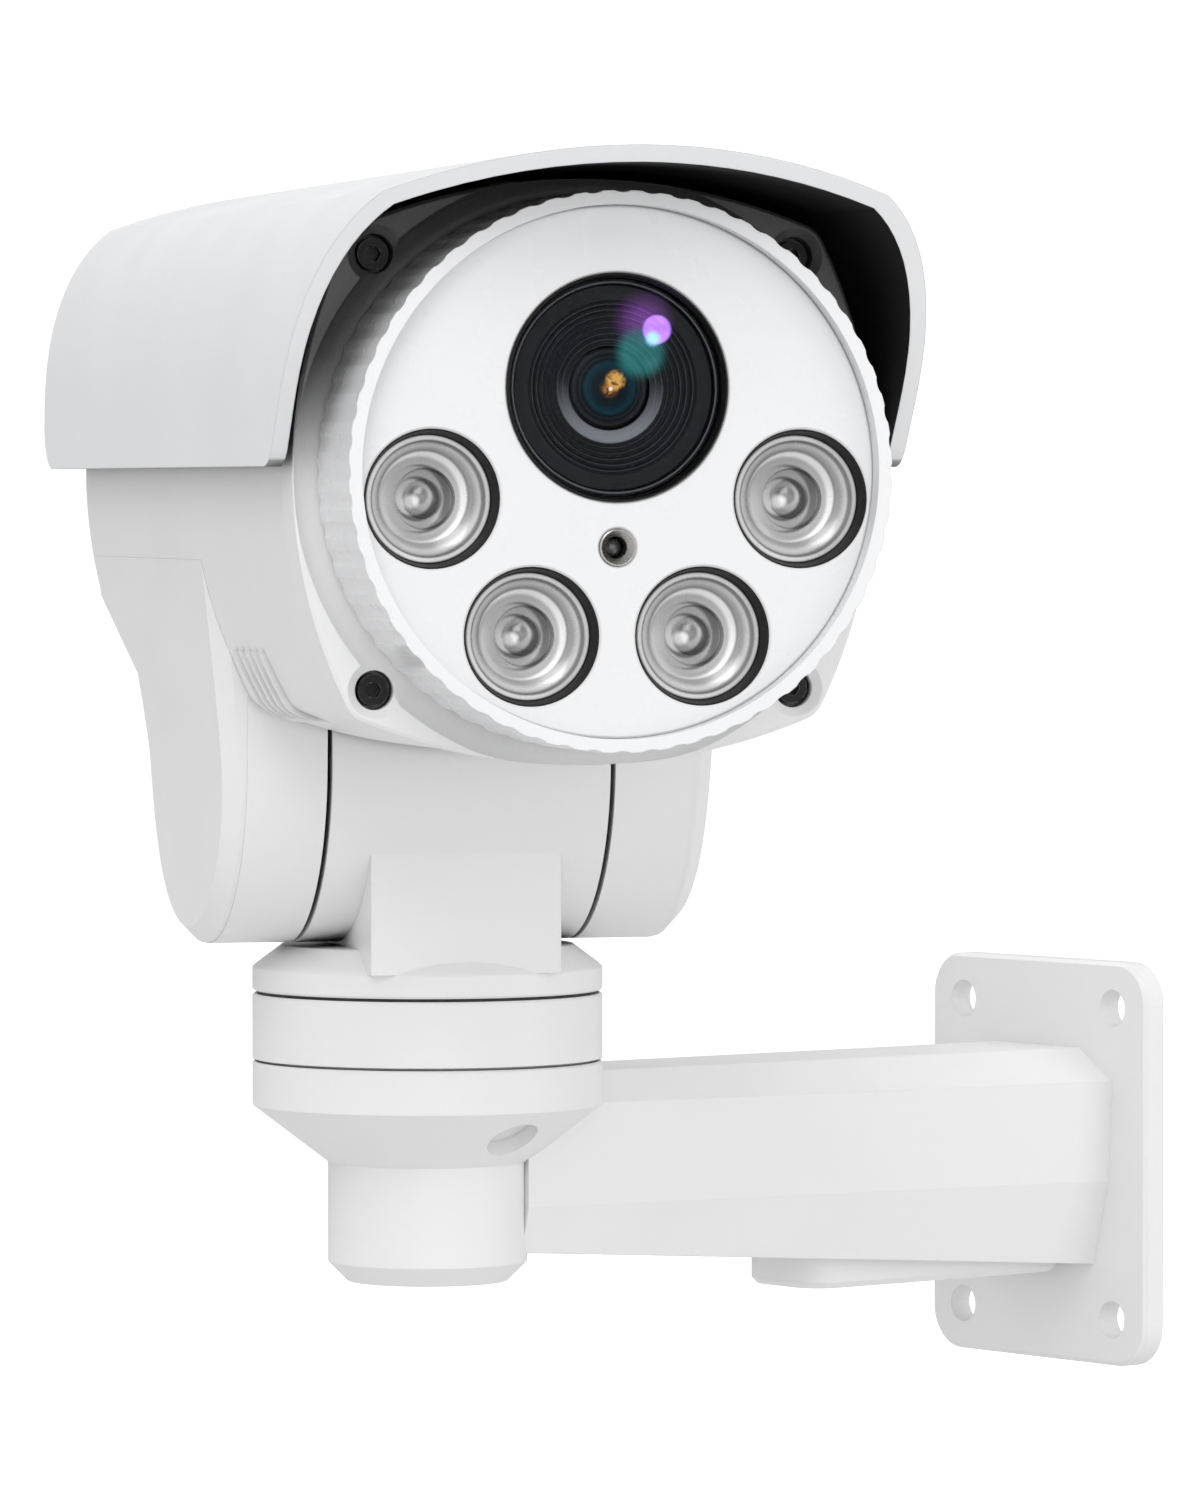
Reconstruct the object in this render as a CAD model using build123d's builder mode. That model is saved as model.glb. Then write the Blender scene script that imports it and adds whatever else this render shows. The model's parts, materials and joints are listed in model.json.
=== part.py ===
from build123d import *

# Pan-tilt-zoom bullet camera on a wall arm.
#
# The row frame has its origin at the centre of the wall plate's back face, +Y into the wall and +Z up.
# The arm runs along -Y to the pan axis. The turret and the head are drawn facing -Y with the pan axis
# at x = y = 0, then turned by rest_pan and set down on the end of the arm.

import math
import os

# ---------------------------------------------------------------- driving dimensions (mm, degrees)
arm_reach = 165.0  # wall to pan axis
rest_pan = 66.0  # head direction at rest, turned from straight out of the wall
tilt_z = 86.5  # height of the tilt axis
head_z = 141.5  # height of the head's centre line
wall = 3.0  # casting thickness
running = 0.06  # radial clearance of a shaft in its bore

# wall bracket
plate_w, plate_h, plate_t, plate_corner = 66.0, 83.0, 5.0, 8.5
plate_hole_x, plate_hole_z, plate_hole_r = 46.0, 64.0, 3.75
boss_r, boss_bottom, boss_chamfer = 19.5, -16.0, 3.8
stage_r = 34.2  # cup, base ring and collar share one outside radius
cone_bottom, cup_edge, cup_top = 7.3, 18.5, 27.1
arm_root_y, arm_tip_y = -plate_t + 1, -arm_reach + 12
arm_root = ((17.5, -21.0), (22.0, -3.5), (23.0, 17.0), (13.0, 23.5))  # half width, height
arm_tip = ((14.5, -10.5), (16.6, -1.4), (16.6, 18.5), (10.0, 24.2))
hatch_w, hatch_near, hatch_far, hatch_bottom = 24.0, -76.0, -6.5, -22.6
hatch_screw_y = (-68.0, -26.0)
recess_r, recess_depth = 5.2, 3.2  # blind recess on the cone

# pan stage
ring_top, seam = 40.3, 0.6
collar_bottom, collar_top = ring_top + seam, 46.0
base_screw_r = 27.0
hub_bottom, hub_r = 18.0, 14.0
bearing_r, bearing_w, bearing_z, ball_r, ball_count = 11.5, 5.0, 18.0, 1.5, 12
shaft_r, shaft_bore, shaft_bottom = 6.0, 4.2, 11.0
cable_r, cable_z = 3.2, 4.0

# turret
barrel_r, barrel_half = 36.0, 27.4
block_half_x, block_half_y, block_floor = 18.8, 31.3, 49.5
bush_r, axle_r, axle_bore, flange_t = 9.5, 7.0, 5.0, 1.2

# gear trains: a wheel of gear_teeth driven by a pinion on a can stepper
gear_module, gear_teeth, pinion_teeth, gear_w = 0.6, 36, 14, 5.0
centre_distance = gear_module * (gear_teeth + pinion_teeth) / 2
gear_z = cup_top + wall + 0.8
motor_r, motor_h, motor_offset, motor_shaft_r = 10.0, 17.0, 2.8, 1.5
tilt_motor_x, tilt_gear_x = 3.0, 16.0

# head shell: a square section whose sides bulge
body_w, body_h, corner_x, corner_z = 54.0, 52.5, 43.0, 43.6
body_rear, frame_back, frame_front = 70.0, 111.0, 121.0
shell = 2.6
ear_in, ear_seam, ear_out = 28.4, 44.0, 48.0
saddle_r, relief_roof = 37.2, 28.0  # the hollow the barrel turns in
slope_foot, slope_head = (40.0, 13.6), (75.0, 33.2)
panel_top = -13.0  # the ear panels reach up the body's sides to here, from the head's centre line
service_z, service_w, service_h = head_z + 12.0, 70.0, 40.0
frame_screw, screw_post_r = 39.3, 4.6
screw_r = 1.5
rib_count, rib_pitch, rib_first = 5, 5.6, 46.0

# front cap, face and lights; heights are offsets from the head's centre line
cap_front, cap_r, cap_bore_r, thread_r = 146.0, 50.2, 47.7, 46.9
scallops, scallop_r, scallop_depth = 60, 4.3, 0.34
face_front, face_t = 142.5, 3.0
lens_z, lens_hole_r = 15.1, 20.5
led_r = 12.5
led_places = [(s * x, z) for x, z in ((34.1, -4.8), (15.8, -29.4)) for s in (-1, 1)]
eye_z, eye_r = -13.5, 3.4
board_front, board_t, board_r = 128.0, 1.6, 43.6

# sun shield: section of its outer face from the head's centre line, and its side outline
shield_t, shield_foot, shield_side = 3.0, (59.3, 1.0), (58.6, 25.0)
shield_corner, shield_crown, shield_roof_r = (46.3, 49.3), 57.7, 132.0
shield_front_low, shield_front_top, shield_rear_low, shield_rear_top = -122.0, -163.0, 84.0, 80.0
shield_screw_d = (-30.0, 60.0)

# lens module, distances forward of the pan axis
tube_r, tube_bore, tube_rear, tube_front = 22.0, 19.5, 60.0, 137.0
barrel_out, barrel_rear, barrel_front = 19.44, 88.0, 140.2
rod_x, rod_r = 26.0, 1.5
shuttle_travel = 9.0

at_wall = Location((0, 0, 0))
at_rest_pan = Location((0, -arm_reach, 0), (0, 0, rest_pan))


# ---------------------------------------------------------------- helpers
def keep(piece, label, place=at_rest_pan):
    """Names a finished piece, sets it down in the row frame and writes its STEP file."""
    placed = piece.part.moved(place)
    placed.label = label
    export_step(placed, f"parts/{label}.step")


def level(z):
    """A horizontal plane at height z."""
    return Plane.XY.offset(z)


def front(d, z=head_z, x=0.0):
    """A plane facing forward, d ahead of the pan axis, with its origin at height z."""
    return Plane(origin=(x, -d, z), x_dir=(1, 0, 0), z_dir=(0, -1, 0))


def side(x, z=tilt_z):
    """A plane facing +X at x, whose own x runs backward along +Y."""
    return Plane(origin=(x, 0, z), x_dir=(0, 1, 0), z_dir=(1, 0, 0))


def bulged_square(grow=0.0):
    """The housing's section, grown outward by grow."""
    w, h, cx, cz = (size + grow for size in (body_w, body_h, corner_x, corner_z))
    corners = [(cx, -cz), (cx, cz), (-cx, cz), (-cx, -cz)]
    crowns = [(w, 0), (0, h), (-w, 0), (0, -h)]
    with BuildSketch() as section:
        with BuildLine():
            for i, crown in enumerate(crowns):
                ThreePointArc(corners[i], crown, corners[(i + 1) % 4])
        make_face()
        fillet(section.vertices(), 5 + max(grow, -4))
    return section.sketch


def tooth_outline(teeth, turn):
    """Points round an involute spur gear."""
    pitch_r = gear_module * teeth / 2
    base_r = pitch_r * math.cos(math.radians(20))
    tip_r, root_r = pitch_r + 0.8 * gear_module, pitch_r - 1.2 * gear_module

    def involute(r):
        return math.sqrt(max((r / base_r) ** 2 - 1, 0)) - math.acos(min(base_r / r, 1))

    half_angle = (math.pi * gear_module / 2 - 0.06) / 2 / pitch_r + involute(pitch_r)
    low = max(base_r, root_r)
    flank = [(root_r, half_angle)]
    flank += [(r, half_angle - involute(r)) for r in (low + (tip_r - low) * i / 3 for i in range(4))]
    points = []
    for n in range(teeth):
        middle = 2 * math.pi * n / teeth + math.radians(turn)
        tooth = [(r, middle - a) for r, a in flank] + [(r, middle + a) for r, a in reversed(flank)]
        points += [(r * math.cos(a), r * math.sin(a)) for r, a in tooth]
    return points


def gear_face(teeth, turn=0.0):
    """The face of a spur gear."""
    with BuildSketch() as face:
        with BuildLine():
            Polyline(*tooth_outline(teeth, turn), close=True)
        make_face()
    return face.sketch


def dome_mid(r, rim, top):
    """The halfway point of an arc, centred on the axis, from (r, rim) to (0, top)."""
    sag = abs(top - rim)
    radius = (r**2 + sag**2) / (2 * sag)
    drop = radius - math.sqrt(radius**2 - r**2 / 4)
    return r / 2, top + math.copysign(drop, rim - top)


def screw_group(planes, r_head, h_head, length, r_shank=screw_r):
    """Identical socket-head screws, each driven in from its plane against the plane's normal."""
    with BuildPart() as group:
        for plane in planes:
            with BuildSketch(plane):
                Circle(r_head)
            extrude(amount=-h_head)
            with BuildSketch(plane.offset(-h_head)):
                Circle(r_shank)
            extrude(amount=-(length - h_head))
            with BuildSketch(plane):
                RegularPolygon(r_head * 0.52, 6)
            extrude(amount=-h_head * 0.6, mode=Mode.SUBTRACT)
    return group


def ring(plane, r_out, r_in, height):
    """A plain ring that stands on its plane."""
    with BuildPart() as piece:
        with BuildSketch(plane):
            Circle(r_out)
            Circle(r_in, mode=Mode.SUBTRACT)
        extrude(amount=height)
    return piece


def grid_planes(plane, width, height):
    """Four planes at the corners of a rectangle centred on the given plane."""
    corners = [(sx * width / 2, sy * height / 2) for sx in (-1, 1) for sy in (-1, 1)]
    return [Plane(plane.from_local_coords((x, y, 0)), plane.x_dir, plane.z_dir) for x, y in corners]


# ---------------------------------------------------------------- wall bracket
def arm_section(station, inset=0.0):
    """One eight-sided station of the arm, drawn smaller by inset for its hollow."""
    rises = (inset, 0, 0, -inset)
    right = [(half - inset, z + rise) for (half, z), rise in zip(station, rises)]
    left = [(-half, z) for half, z in reversed(right)]
    with BuildSketch() as section:
        with BuildLine():
            Polyline(*right, *left, close=True)
        make_face()
    return section.sketch


def recess_plane():
    """The plane square to the cone on the +X side, facing out."""
    slope = math.atan2(stage_r - boss_r, cup_edge - cone_bottom)
    r, z = (stage_r + boss_r) / 2, (cone_bottom + cup_edge) / 2
    return Plane(origin=(r, -arm_reach, z), z_dir=(math.cos(slope), 0, -math.sin(slope)))


def make_wall_bracket():
    pan_plane = Plane(origin=(0, -arm_reach, 0), x_dir=(1, 0, 0), z_dir=(0, -1, 0))
    pan_axis = Axis((0, -arm_reach, 0), (0, 0, 1))
    with BuildPart() as casting:
        with BuildSketch(Plane.XZ):
            RectangleRounded(plate_w, plate_h, plate_corner)
        extrude(amount=plate_t)
        chamfer(casting.faces().sort_by(Axis.Y)[0].edges(), 0.8)
        with BuildSketch(front(-arm_root_y, 0)):
            add(arm_section(arm_root))
        with BuildSketch(front(-arm_tip_y, 0)):
            add(arm_section(arm_tip))
        loft()
        with BuildSketch(pan_plane):
            with BuildLine():
                Polyline(
                    (0, boss_bottom),
                    (boss_r - boss_chamfer, boss_bottom),
                    (boss_r, boss_bottom + boss_chamfer),
                    (boss_r, cone_bottom),
                    (stage_r, cup_edge),
                    (stage_r, cup_top - 0.4),
                    (stage_r - 0.4, cup_top),
                    (0, cup_top),
                    close=True,
                )
            make_face()
        revolve(axis=pan_axis)
        # hollow of the boss and cup
        with BuildSketch(pan_plane):
            with BuildLine():
                Polyline(
                    (0, boss_bottom + 4),
                    (boss_r - 4, boss_bottom + 4),
                    (boss_r - 4, cone_bottom + 5),
                    (stage_r - 5, cup_edge + 5),
                    (stage_r - 5, cup_top),
                    (0, cup_top),
                    close=True,
                )
            make_face()
        revolve(axis=pan_axis, mode=Mode.SUBTRACT)
        # posts for the base ring's screws
        with BuildSketch(level(cup_edge - 2)):
            with Locations((0, -arm_reach)):
                with PolarLocations(base_screw_r, 3, start_angle=30):
                    Circle(3.4)
        extrude(amount=cup_top - cup_edge + 2)
        with Locations(level(cup_top)):
            with Locations((0, -arm_reach)):
                with PolarLocations(base_screw_r, 3, start_angle=30):
                    Hole(screw_r, depth=7)
        # hollow of the arm, open at the wall
        with BuildSketch(front(0, 0)):
            add(arm_section(arm_root, inset=wall))
        with BuildSketch(front(2 - arm_tip_y, 0)):
            add(arm_section(arm_tip, inset=wall))
        loft(mode=Mode.SUBTRACT)
        with Locations(Plane.XZ.offset(plate_t)):
            with GridLocations(plate_hole_x, plate_hole_z, 2, 2):
                Hole(plate_hole_r)
        # opening under the arm that the hatch closes
        with BuildSketch(level(boss_bottom - 20)):
            with Locations((0, (hatch_near + hatch_far) / 2)):
                RectangleRounded(hatch_w - 8, hatch_far - hatch_near - 30, 3)
        extrude(amount=30, mode=Mode.SUBTRACT)
        with BuildSketch(level(boss_bottom - 20)):
            with Locations(*[(0, y) for y in hatch_screw_y]):
                Circle(screw_r)
        extrude(amount=30, mode=Mode.SUBTRACT)
        with BuildSketch(recess_plane().offset(-recess_depth)):
            Circle(recess_r)
        extrude(amount=10, mode=Mode.SUBTRACT)
    return casting


def make_cable_hatch():
    """The cover under the arm. Its top follows the arm's sloping underside."""
    slope = (arm_tip[0][1] - arm_root[0][1]) / (arm_tip_y - arm_root_y)
    near, far = (arm_root[0][1] + slope * (y - arm_root_y) for y in (-110, 0))
    with BuildPart() as hatch:
        with BuildSketch(level(hatch_bottom)):
            with Locations((0, (hatch_near + hatch_far) / 2)):
                RectangleRounded(hatch_w, hatch_far - hatch_near, 7)
        extrude(amount=16)
        chamfer(hatch.faces().sort_by(Axis.Z)[0].edges(), 1.2)
        with BuildSketch(Plane.YZ.offset(-hatch_w)):
            with BuildLine():
                Polyline((0, far), (-110, near), (-110, 10), (0, 10), close=True)
            make_face()
        extrude(amount=2 * hatch_w, mode=Mode.SUBTRACT)
        with Locations(Plane(origin=(0, 0, hatch_bottom), x_dir=(1, 0, 0), z_dir=(0, 0, -1))):
            with Locations(*[(0, -y) for y in hatch_screw_y]):
                CounterBoreHole(screw_r + 0.1, 3.1, 2.2)
    return hatch


def hatch_screw_planes():
    base = Plane(origin=(0, 0, hatch_bottom + 0.3), x_dir=(1, 0, 0), z_dir=(0, 0, -1))
    return [Plane(base.from_local_coords((0, -y, 0)), base.x_dir, base.z_dir) for y in hatch_screw_y]


def make_main_cable():
    """The sheathed cable from the wall, along the arm and up the hollow pan shaft."""
    with BuildPart() as cable:
        with BuildLine() as path:
            FilletPolyline((0, -1, cable_z), (0, -arm_reach, cable_z), (0, -arm_reach, 62), radius=7)
        with BuildSketch(Plane(origin=(0, -1, cable_z), z_dir=(0, -1, 0))):
            Circle(cable_r)
        sweep(path=path.wires()[0])
    return cable


# ---------------------------------------------------------------- pan stage
def make_base_ring():
    with BuildPart() as base:
        with BuildSketch(level(cup_top)):
            Circle(stage_r)
        extrude(amount=ring_top - cup_top)
        chamfer(base.edges().filter_by(GeomType.CIRCLE), 0.4)
        with BuildSketch(level(cup_top)):
            Circle(stage_r)
            Circle(stage_r - 1.5, mode=Mode.SUBTRACT)
        extrude(amount=0.5, mode=Mode.SUBTRACT)
        with BuildSketch(level(cup_top + wall)):
            Circle(stage_r - wall)
        extrude(amount=ring_top - cup_top, mode=Mode.SUBTRACT)
        with BuildSketch(level(hub_bottom)):
            Circle(hub_r)
        extrude(amount=gear_z - hub_bottom)
        with Locations(level(gear_z)):
            Hole(shaft_r + 0.8)
        with BuildSketch(level(hub_bottom)):
            Circle(bearing_r)
        extrude(amount=bearing_z + bearing_w - hub_bottom, mode=Mode.SUBTRACT)
        with Locations(level(cup_top + wall)):
            with PolarLocations(base_screw_r, 3, start_angle=30):
                Hole(screw_r + 0.1)
        # groove for the pan seal
        with BuildSketch(level(ring_top - 0.8)):
            Circle(stage_r - 0.9)
            Circle(stage_r - 2.2, mode=Mode.SUBTRACT)
        extrude(amount=1, mode=Mode.SUBTRACT)
    return base


def base_screw_planes():
    places = [math.radians(30 + 120 * i) for i in range(3)]
    head = cup_top + wall + 2.0
    return [Plane((base_screw_r * math.cos(a), base_screw_r * math.sin(a), head)) for a in places]


def make_races():
    """Outer and inner races of the pan bearing, each with its ball track."""
    mid_r, mid_z = (bearing_r + shaft_r) / 2, bearing_z + bearing_w / 2
    races = []
    for r_out, r_in in ((bearing_r, mid_r + 0.9), (mid_r - 0.9, shaft_r)):
        with BuildPart() as race:
            with BuildSketch(level(bearing_z)):
                Circle(r_out)
                Circle(r_in, mode=Mode.SUBTRACT)
            extrude(amount=bearing_w)
            with BuildSketch(Plane.XZ):
                with Locations((mid_r, mid_z)):
                    Circle(ball_r + 0.03)
            revolve(axis=Axis.Z, mode=Mode.SUBTRACT)
        races.append(race)
    return races


def make_balls():
    with BuildPart() as balls:
        with Locations((0, 0, bearing_z + bearing_w / 2)):
            with PolarLocations((bearing_r + shaft_r) / 2, ball_count):
                Sphere(ball_r)
    return balls


def make_shaft_nut():
    with BuildPart() as nut:
        with BuildSketch(level(shaft_bottom + 1)):
            RegularPolygon(9.6, 6)
        extrude(amount=3.4)
        with BuildSketch(level(shaft_bottom + 4.4)):
            Circle(7.3)
        extrude(amount=bearing_z - shaft_bottom - 4.4)
        with Locations(level(bearing_z)):
            Hole(shaft_r)
    return nut


def make_pan_shaft():
    with BuildPart() as shaft:
        with BuildSketch(level(shaft_bottom)):
            Circle(shaft_r)
        extrude(amount=block_floor + 1.6 - shaft_bottom)
        with BuildSketch(level(block_floor)):
            Circle(7.5)
        extrude(amount=1.6)
        with Locations(level(block_floor + 1.6)):
            Hole(shaft_bore)
    return shaft


def make_wheel(plane, bore, hub=0.0):
    """A gear wheel that stands on its plane, with an optional hub behind it."""
    with BuildPart() as wheel:
        with BuildSketch(plane):
            add(gear_face(gear_teeth))
        extrude(amount=gear_w)
        if hub:
            with BuildSketch(plane):
                Circle(bore + 2)
            extrude(amount=-hub)
        with BuildSketch(plane.offset(-hub)):
            Circle(bore)
        extrude(amount=gear_w + hub, mode=Mode.SUBTRACT)
    return wheel


def make_motor(face):
    """A can stepper: output along the face's normal, can offset along the face's own x."""
    with BuildPart() as motor:
        with BuildSketch(face):
            with Locations((motor_offset, 0)):
                Circle(motor_r)
        extrude(amount=-motor_h)
        fillet(motor.edges().filter_by(GeomType.CIRCLE), 0.8)
        with BuildSketch(face.offset(-0.8)):
            with Locations((motor_offset, 0)):
                SlotCenterToCenter(25, 5, rotation=90)
                with Locations((0, 12.5), (0, -12.5)):
                    Circle(1.4, mode=Mode.SUBTRACT)
        extrude(amount=0.8)
        with BuildSketch(face):
            Circle(3.5)
        extrude(amount=1.5)
        with BuildSketch(face.offset(1.5)):
            Circle(motor_shaft_r + running)
        extrude(amount=-10, mode=Mode.SUBTRACT)
    return motor


def make_pinion(face, teeth_from, turn=0.0):
    """A pinion and its shaft, which runs in the motor's bore."""
    with BuildPart() as pinion:
        with BuildSketch(face.offset(-8)):
            Circle(motor_shaft_r)
        extrude(amount=8 + teeth_from)
        with BuildSketch(face.offset(teeth_from)):
            add(gear_face(pinion_teeth, turn))
        extrude(amount=gear_w - 0.4)
    return pinion


# ---------------------------------------------------------------- turret
def make_yoke():
    with BuildPart() as yoke:
        # collar with its conical top
        with BuildSketch(Plane.XZ):
            with BuildLine():
                Polyline(
                    (0, collar_bottom),
                    (stage_r - 0.4, collar_bottom),
                    (stage_r, collar_bottom + 0.4),
                    (stage_r, collar_top - 0.6),
                    (stage_r - 0.6, collar_top),
                    (28.5, collar_top + 3.8),
                    (0, collar_top + 4.8),
                    close=True,
                )
            make_face()
        revolve(axis=Axis.Z)
        with BuildSketch(level(collar_top - 0.6)):
            Rectangle(2 * block_half_x, 2 * block_half_y)
        extrude(amount=tilt_z - collar_top + 0.6)
        with BuildSketch(side(-barrel_half)):
            Circle(barrel_r)
        extrude(amount=2 * barrel_half)
        chamfer(yoke.edges().filter_by(GeomType.CIRCLE).sort_by(Axis.X)[-1], 0.5)
        # hollow barrel, open at its left end
        with BuildSketch(side(-barrel_half)):
            Circle(barrel_r - wall)
        extrude(amount=2 * barrel_half - wall, mode=Mode.SUBTRACT)
        # hollow neck, open to the barrel
        with BuildSketch(level(block_floor)):
            Rectangle(2 * (block_half_x - 2.5), 2 * (block_half_y - 2.5))
        extrude(amount=tilt_z - block_floor, mode=Mode.SUBTRACT)
        # recess over the pan gear, the shaft's bore and the way down for the pinion
        with BuildSketch(level(collar_bottom)):
            Circle(stage_r - 5)
        extrude(amount=2.4, mode=Mode.SUBTRACT)
        with BuildSketch(level(collar_bottom)):
            Circle(shaft_r)
            with Locations((0, centre_distance)):
                Circle(5.6)
        extrude(amount=20, mode=Mode.SUBTRACT)
        with BuildSketch(side(barrel_half)):
            Circle(bush_r)
        extrude(amount=-wall, mode=Mode.SUBTRACT)
    return yoke


def make_end_cap():
    with BuildPart() as cap:
        with BuildSketch(side(-barrel_half)):
            Circle(barrel_r - wall)
            Circle(bush_r, mode=Mode.SUBTRACT)
        extrude(amount=wall)
    return cap


def make_bush(s):
    """A flanged plain bush that lines the barrel's end for the axle on side s."""
    with BuildPart() as bush:
        with BuildSketch(side(s * barrel_half)):
            Circle(bush_r)
        extrude(amount=-s * wall)
        with BuildSketch(side(s * (barrel_half - wall))):
            Circle(bush_r + 2)
        extrude(amount=-s * flange_t)
        with BuildSketch(side(s * barrel_half)):
            Circle(axle_r + running)
        extrude(amount=-s * (wall + flange_t), mode=Mode.SUBTRACT)
    return bush


def make_axle(s, reach):
    """A hollow tilt axle, flanged against the inside of the ear on side s."""
    with BuildPart() as axle:
        with BuildSketch(side(s * reach)):
            Circle(axle_r)
        extrude(amount=s * (ear_in + wall + 2 - reach))
        with BuildSketch(side(s * (ear_in + wall))):
            Circle(axle_r + 5)
        extrude(amount=s * 2)
        with BuildSketch(side(s * reach)):
            Circle(axle_bore)
        extrude(amount=s * 30, mode=Mode.SUBTRACT)
    return axle


# ---------------------------------------------------------------- head shell
def ear_profile(shrink=0.0):
    """One ear's side view: a round lobe on the tilt axis that runs up and back along the body."""
    r, rear, roof = barrel_r - shrink, body_rear - 2.6, head_z - tilt_z + panel_top
    slope = (slope_head[1] - slope_foot[1]) / (slope_head[0] - slope_foot[0])
    with BuildSketch() as profile:
        with BuildLine():
            ThreePointArc((-r, 0), (0, -r), (r, 0))
            Polyline(
                (r, 0),
                (slope_foot[0] - shrink, slope_foot[1]),
                (rear, slope_foot[1] + slope * (rear - slope_foot[0])),
                (rear, roof),
                (-r - 1.5, roof),
                (-r, 0),
            )
        make_face()
    return profile.sketch


def rear_wedge(grow=0.0):
    """The side view of what is cut from the body's lower rear."""
    with BuildSketch() as profile:
        with BuildLine():
            Polyline(
                (slope_foot[0] - grow, slope_foot[1] + grow),
                (slope_head[0], slope_head[1] + grow),
                (slope_head[0], -50),
                (slope_foot[0] - grow, -50),
                close=True,
            )
        make_face()
    return profile.sketch


def relief_profile(grow=0.0):
    """The side view of the hollow that the barrel and neck turn in."""
    with BuildSketch() as profile:
        Circle(saddle_r + grow)
        with BuildLine():
            Polyline((0, -50), (90, -50), (90, relief_roof + grow), (0, relief_roof + grow), close=True)
        make_face()
    return profile.sketch


def make_cavity():
    """The inside of the housing, as a tool to cut it with."""
    with BuildPart() as cavity:
        with BuildSketch(front(-body_rear + 3)):
            add(bulged_square(-shell))
        extrude(amount=frame_back + body_rear)
        with BuildSketch(side(-ear_in - 2.4)):
            add(relief_profile(2.4))
        extrude(amount=2 * (ear_in + 2.4), mode=Mode.SUBTRACT)
        with BuildSketch(side(-80)):
            add(rear_wedge(2.4))
        extrude(amount=160, mode=Mode.SUBTRACT)
    return cavity.part


def make_ribs():
    """Slanting vent ribs low on each side, between the ear and the frame."""
    with BuildPart() as ribs:
        with BuildSketch(front(rib_first - 10)):
            add(bulged_square(0.8))
            add(bulged_square(-1.0), mode=Mode.SUBTRACT)
        extrude(amount=rib_count * rib_pitch + 20)
        with BuildSketch(side(-70, head_z - 40)):
            with Locations(*[(-(rib_first + rib_pitch * i), 0) for i in range(rib_count)]):
                SlotOverall(14, 1.6, rotation=76)
        extrude(amount=140, mode=Mode.INTERSECT)
    return ribs.part


def make_housing():
    cavity = make_cavity()
    ribs = make_ribs()
    rear = Plane(origin=(0, body_rear, service_z), x_dir=(-1, 0, 0), z_dir=(0, 1, 0))
    with BuildPart() as housing:
        with BuildSketch(front(-body_rear)):
            add(bulged_square())
        extrude(amount=frame_back + body_rear)
        chamfer(housing.faces().sort_by(Axis.Y)[-1].edges(), 2.5)
        for s in (-1, 1):
            with BuildSketch(side(s * ear_in)):
                add(ear_profile())
            extrude(amount=s * (ear_seam - ear_in))
        with BuildSketch(side(-80)):
            add(rear_wedge())
        extrude(amount=160, mode=Mode.SUBTRACT)
        add(ribs)
        add(cavity, mode=Mode.SUBTRACT)
        with BuildSketch(side(-ear_in)):
            add(relief_profile())
        extrude(amount=2 * ear_in, mode=Mode.SUBTRACT)
        for s in (-1, 1):
            # pocket of the ear, the axle's hole and the passage for the wires
            with BuildSketch(side(s * (ear_in + wall))):
                Circle(barrel_r - wall)
            extrude(amount=s * (ear_seam - ear_in - wall), mode=Mode.SUBTRACT)
            with BuildSketch(side(s * ear_in)):
                Circle(axle_r)
            extrude(amount=s * wall, mode=Mode.SUBTRACT)
            with BuildSketch(level(tilt_z + 20)):
                with Locations((s * 37, 0)):
                    Circle(3.0)
            extrude(amount=20, mode=Mode.SUBTRACT)
        # service opening and the seat of its cover
        with BuildSketch(rear):
            RectangleRounded(service_w, service_h, 6)
        extrude(amount=-1.5, mode=Mode.SUBTRACT)
        with BuildSketch(rear):
            RectangleRounded(service_w - 14, service_h - 14, 4)
        extrude(amount=-6, mode=Mode.SUBTRACT)
        with Locations(*[Location(p) for p in grid_planes(rear, service_w - 8, service_h - 8)]):
            Hole(screw_r, depth=3)
        # corner posts for the frame's screws
        with BuildSketch(front(frame_back - 16)):
            with GridLocations(2 * frame_screw, 2 * frame_screw, 2, 2):
                Circle(screw_post_r)
        extrude(amount=16)
        with Locations(front(frame_back)):
            with GridLocations(2 * frame_screw, 2 * frame_screw, 2, 2):
                Hole(screw_r, depth=12)
        # groove for the frame's gasket
        with BuildSketch(front(frame_back - 1.0)):
            add(bulged_square(-0.7))
            add(bulged_square(-1.7), mode=Mode.SUBTRACT)
        extrude(amount=2.0, mode=Mode.SUBTRACT)
        # tapped holes for the shield's screws
        with Locations(level(head_z + body_h)):
            with Locations(*[(0, -d) for d in shield_screw_d]):
                Hole(screw_r, depth=3)
    return housing


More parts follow.
